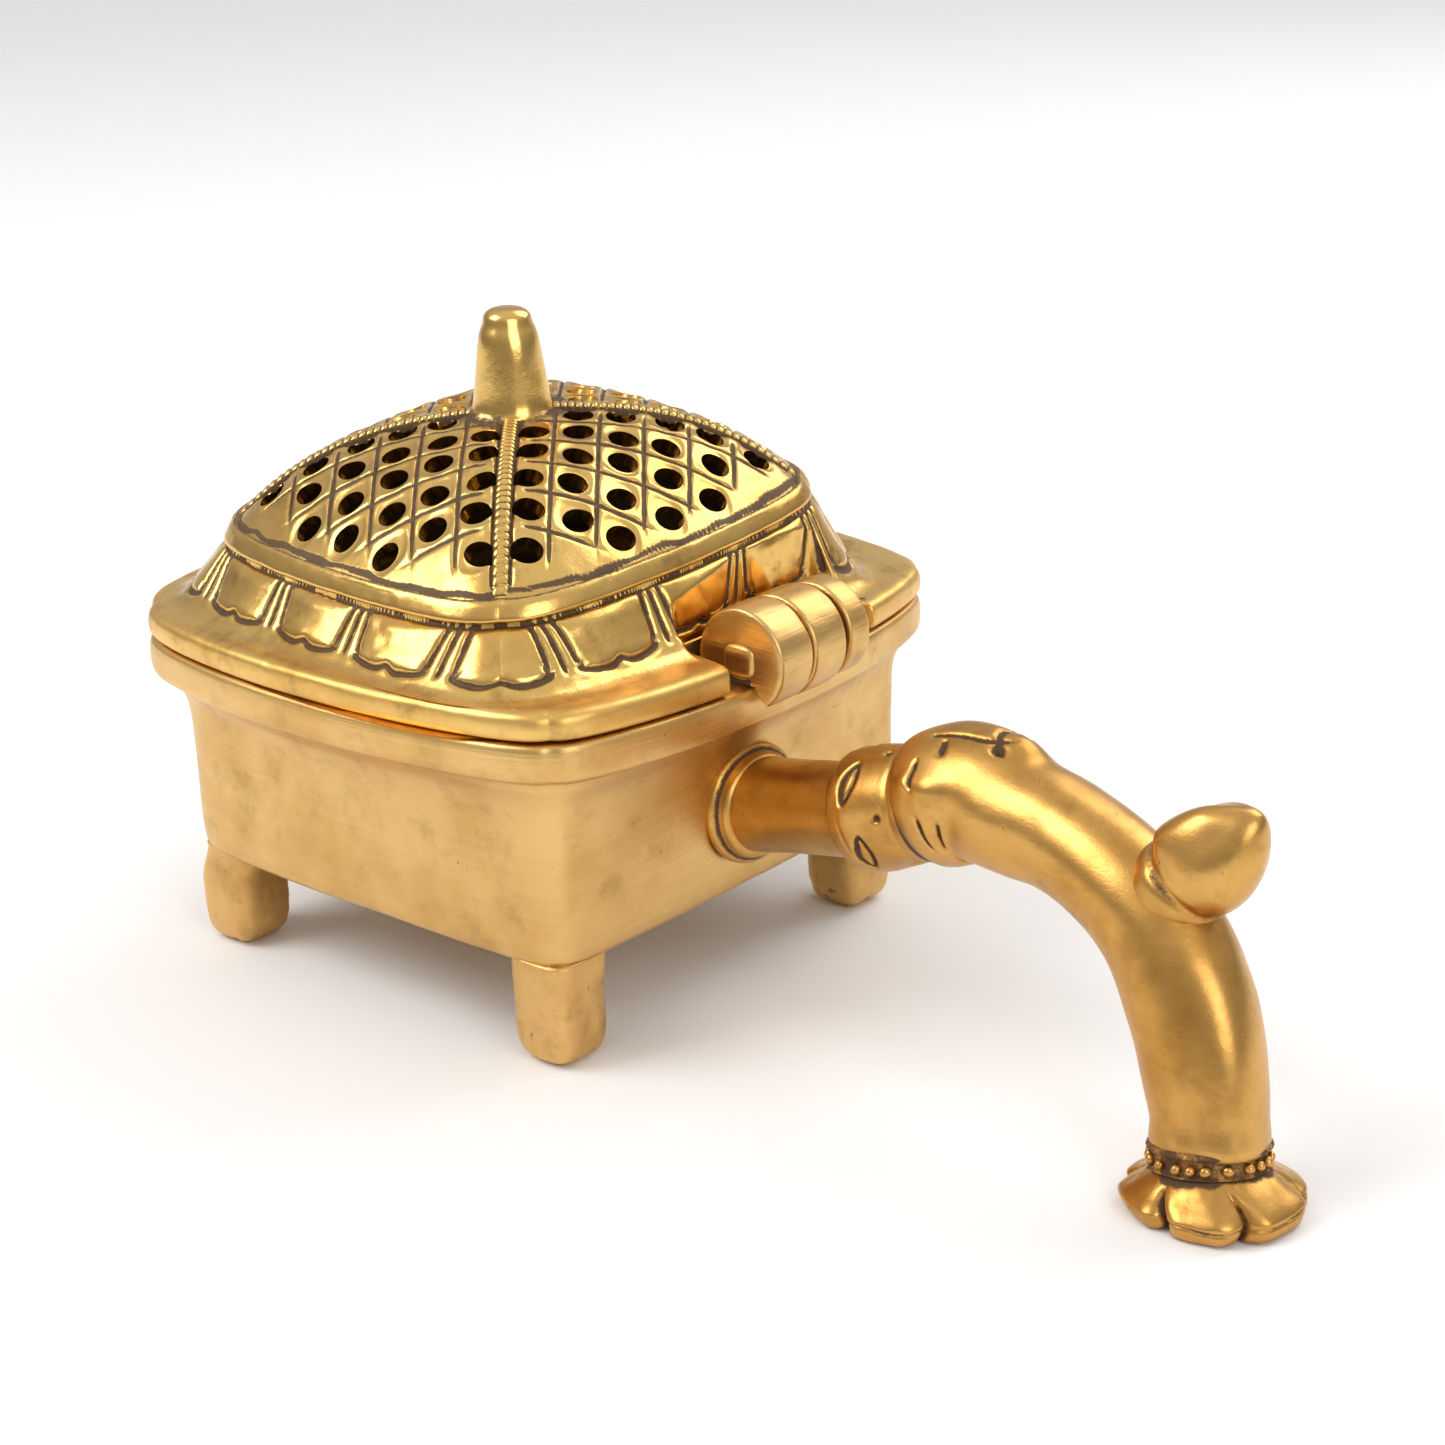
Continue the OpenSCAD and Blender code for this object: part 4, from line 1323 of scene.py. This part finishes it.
    def build_band(self) -> None:
        """The ankle band: a dark channel with a row of beads round it."""
        path = self.lathe_path(self.ankle, self.ankle_tilt, [
            (-1.2, 0.02, 2), (-1.2, 7.9, 2), (-0.9, 8.5, 2), (-0.5, 8.75, 3), (-0.1, 8.35, 3),
            (0.5, 8.0, 4), (2.0, 8.0, 3), (2.5, 8.45, 2), (2.6, 8.0, 2), (2.6, 0.02, 1)])

        def relief(s: Grid, angle: Grid, p: Grid) -> tuple[Grid, Grid]:
            """A ragged, dark channel."""
            return 0.16 * noise(p, 1.5, 83), 0.55 + 0.2 * noise(p, 2, 84)

        band = self.limb("ankle_channel", path, 120, relief, (self.ankle_tilt, self.ankle_tilt))
        nothing_selected()
        bpy.ops.mesh.primitive_uv_sphere_add(segments=12, ring_count=8, radius=1)
        ball = bpy.context.object
        beads = [band]
        count = 20
        c, s = cos(radians(self.ankle_tilt)), sin(radians(self.ankle_tilt))
        for k in range(count):
            a = 2 * pi * (k + 0.2 * sin(k * 4.7)) / count
            r = 8.25
            x, z = self.ankle[0] + 1.25 * c - r * cos(a) * s, self.ankle[1] + 1.25 * s + r * cos(a) * c
            at = self.leaned(np.array([x, -r * sin(a), z]))
            bead = ball.copy()
            bead.data = ball.data.copy()
            bpy.context.collection.objects.link(bead)
            size = 0.82 + 0.16 * sin(k * 3.1)
            bead.matrix_world = (Matrix.Translation(Vector(at) * MM + BASE) @ Matrix.Rotation(a, 4, "Z")
                                 @ Matrix.Diagonal((size * MM * 1.1, size * MM * 0.9, size * MM, 1)))
            beads.append(bead)
        bpy.data.objects.remove(ball)
        self.shop.deliver(joined("ankle_band_beaded", beads), Body.BOX, Slot.HANDLE, "ankle_band", angle=60)

    def build_foot(self) -> None:
        """The foot: it flares from the ankle into toes parted by deep clefts, and its sole is flat."""
        c, s = cos(radians(self.ankle_tilt)), sin(radians(self.ankle_tilt))
        top = self.leaned(np.array([[self.ankle[0] + 2.2 * c, 0, self.ankle[1] + 2.2 * s]]))[0]
        low, high = corners("handle_foot")
        sole = np.array([(low.x + high.x) / 2, (low.y + high.y) / 2, 0])
        profile = curve([
            (0, 0.02, 2), (0, 7.4, 3), (0.12, 8.6, 4), (0.34, 10.6, 6), (0.56, 12.2, 6), (0.74, 12.9, 5),
            (0.88, 12.8, 4), (0.96, 12.0, 3), (1, 11.0, 3), (1, 9.5, 2), (1, 0.02, 1)])
        piece, u, (t, r) = rolled("handle_foot_casting", 240, profile)
        a = 2 * pi * u
        angle = np.degrees(a)
        tip = radians(90 + self.ankle_tilt) * (1 - t)
        side = -radians(self.lean) * (1 - t)
        cut = np.zeros_like(a)
        lobe = np.ones_like(a)
        clefts = (262, 318, 22, 75, 130, 200)
        for k, middle in enumerate(clefts):
            off = radians(1) * 12 * self.turned(angle + 4 * np.sin(t * 6 + k), middle)
            cut = np.maximum(cut, bump(off, 0.45 if k != 0 else 0.6) * (1.0 if k in (0, 2) else 0.7))
            lobe = lobe - 0.075 * bump(off, 1.6)
        spread = step(0.05, 0.6, t)
        around = np.stack([12 * np.cos(a), 12 * np.sin(a), 8 * t], axis=-1)
        knuckle = 0.35 * bump(t - 0.62, 0.14) - 0.35 * bump(t - 0.72 + 0.04 * noise(around, 5, 91), 0.035)
        proud = spread * (knuckle + 0.30 * noise(around, 4, 92) - 1.5 * cut) + 0.15 * noise(around, 1.6, 93)
        rr = np.where(r > 4, r * mix(1, lobe, spread) + proud, r)
        centre = top[None, None, :] * (1 - t)[..., None] + sole[None, None, :] * t[..., None]
        x, y = rr * np.cos(a), rr * np.sin(a)
        height = centre[..., 2] + x * np.sin(tip) + y * np.sin(side)
        flat = np.stack([centre[..., 0] + x * np.cos(tip), centre[..., 1] + y * np.cos(side)], axis=-1)
        points = np.concatenate([flat, np.maximum(height, 0)[..., None]], axis=-1)
        crease = 0.55 * bump(t - 0.70 + 0.04 * noise(around, 5, 91), 0.03) * (noise(around, 6, 94) > -0.1)
        stain = 0.95 * step(0.22, 0.02, t + 0.06 * noise(around, 2.5, 95))
        stain += 0.45 * step(0.3, 0.7, noise(around, 2.2, 96)) * step(0.5, 0.2, t)
        stain += 0.24 * step(-0.2, 0.7, noise(around, 4, 97))
        store(piece, points, {"patina_and_shade": np.clip(spread * 1.1 * cut + crease + stain, 0, 1)})
        mesh_cleaned(piece)
        self.shop.deliver(piece, Body.BOX, Slot.HANDLE, "handle_foot", angle=60)


# ---- studio ----------------------------------------------------------------------------------------


@dataclass
class Studio:
    """A pale table that curves up into a backdrop, soft lamps and the camera.

    Attributes:
        azimuth: Degrees from -Y round towards +X at which the camera stands.
        elevation: Degrees above the table.
        roll: Degrees that the camera turns anticlockwise about its own line of sight.
        distance: Metres from the middle of the view.
        aim: Offset of the middle of the view from the foot of the box's middle, right and up, in metres.
        view_angle: Degrees that the view takes in.
    """

    azimuth: float = 39.9
    elevation: float = 20.6
    roll: float = -1.24
    distance: float = 0.4832
    aim: tuple[float, float] = (0.03056, 0.03239)
    view_angle: float = 28.82

    def axes(self) -> tuple[Vector, Vector, Vector]:
        """The camera's right, up and backward directions."""
        a, e, r = radians(self.azimuth), radians(self.elevation), radians(self.roll)
        back = Vector((sin(a) * cos(e), -cos(a) * cos(e), sin(e)))
        right = Vector((cos(a), sin(a), 0))
        up = back.cross(right)
        return right * cos(r) + up * sin(r), up * cos(r) - right * sin(r), back

    def build(self) -> None:
        """Makes the table, the lamps, the sky and the camera."""
        self.build_table()
        self.build_world()
        self.build_lamp("key", (-0.55, -0.75, 0.95), 0.75, 9.0)
        self.build_lamp("fill", (1.0, -0.35, 0.55), 0.6, 3.2)
        self.build_lamp("back", (0.2, 0.9, 0.9), 0.9, 6.0)
        self.build_camera()
        bpy.context.scene.view_settings.view_transform = "Standard"

    def build_table(self) -> None:
        """The table and backdrop in one sweep."""
        piece, u, v = grid_sheet("table", 8, 60)
        t = v * 4.2 - 1.6
        bend = 0.9
        over = np.clip(t - 1.4, 0, bend * pi / 2)
        rest = np.maximum(t - 1.4 - bend * pi / 2, 0)
        y = np.minimum(t, 1.4) + bend * np.sin(over / bend)
        z = bend * (1 - np.cos(over / bend)) + rest
        right, _, back = self.axes()
        away = -Vector((back.x, back.y, 0)).normalized()
        across = (u - 0.5) * 6
        points = np.stack([away.x * y + right.x * across, away.y * y + right.y * across, z], axis=-1) / MM
        store(piece, points, {})
        smooth(piece, 60)
        n = Nodes("table_white")
        shade = n.cloud((3, 3, 3), 2)
        paper = n.colours(shade, (0.93, 0.93, 0.93, 1), (0.90, 0.90, 0.90, 1))
        piece.data.materials.append(n.finish(Base_Color=paper, Roughness=0.9, Specular_IOR_Level=0.1))

    @staticmethod
    def build_world() -> None:
        """A sky that is bright overhead and darker towards the horizon."""
        world = bpy.data.worlds.new("studio")
        bpy.context.scene.world = world
        world.use_nodes = True
        tree = world.node_tree
        shader = tree.nodes["Background"]
        where = tree.nodes.new("ShaderNodeTexCoord")
        split = tree.nodes.new("ShaderNodeSeparateXYZ")
        ramp = tree.nodes.new("ShaderNodeValToRGB")
        tree.links.new(where.outputs["Generated"], split.inputs[0])
        tree.links.new(split.outputs["Z"], ramp.inputs[0])
        tree.links.new(ramp.outputs[0], shader.inputs["Color"])
        ramp.color_ramp.elements[0].color = (0.30, 0.28, 0.26, 1)
        ramp.color_ramp.elements[1].color = (1, 1, 1, 1)
        shader.inputs["Strength"].default_value = 0.85

    @staticmethod
    def build_lamp(name: str, place: tuple[float, float, float], size: float, watts: float) -> None:
        """One soft square lamp that looks at the burner."""
        light = bpy.data.lights.new(name, "AREA")
        light.size = size
        light.energy = watts
        lamp = bpy.data.objects.new(name, light)
        bpy.context.scene.collection.objects.link(lamp)
        lamp.location = Vector(place) + BASE
        lamp.rotation_euler = (Vector((0.04, 0, 0.05)) - Vector(place)).to_track_quat("-Z", "Y").to_euler()

    def build_camera(self) -> None:
        """The camera, with no depth of field."""
        right, up, back = self.axes()
        camera = bpy.data.cameras.new("camera")
        camera.angle = radians(self.view_angle)
        camera.clip_start = 0.01
        rig = bpy.data.objects.new("camera", camera)
        bpy.context.scene.collection.objects.link(rig)
        turn = Matrix((right, up, back)).transposed().to_4x4()
        level = Vector((-back.y, back.x, 0)).normalized()
        place = back * self.distance + level * self.aim[0] + back.cross(level) * self.aim[1]
        rig.matrix_world = Matrix.Translation(place + BASE) @ turn
        bpy.context.scene.camera = rig


def main() -> None:
    """Builds the studio, then each part of the burner."""
    logging.basicConfig(level=logging.INFO, format="%(name)s: %(message)s")
    Studio().build()
    shop = Workshop()
    EmberBox(shop).build()
    Lid(shop).build()
    Hinge(shop).build()
    Handle(shop).build()


if __name__ == "__main__":
    main()
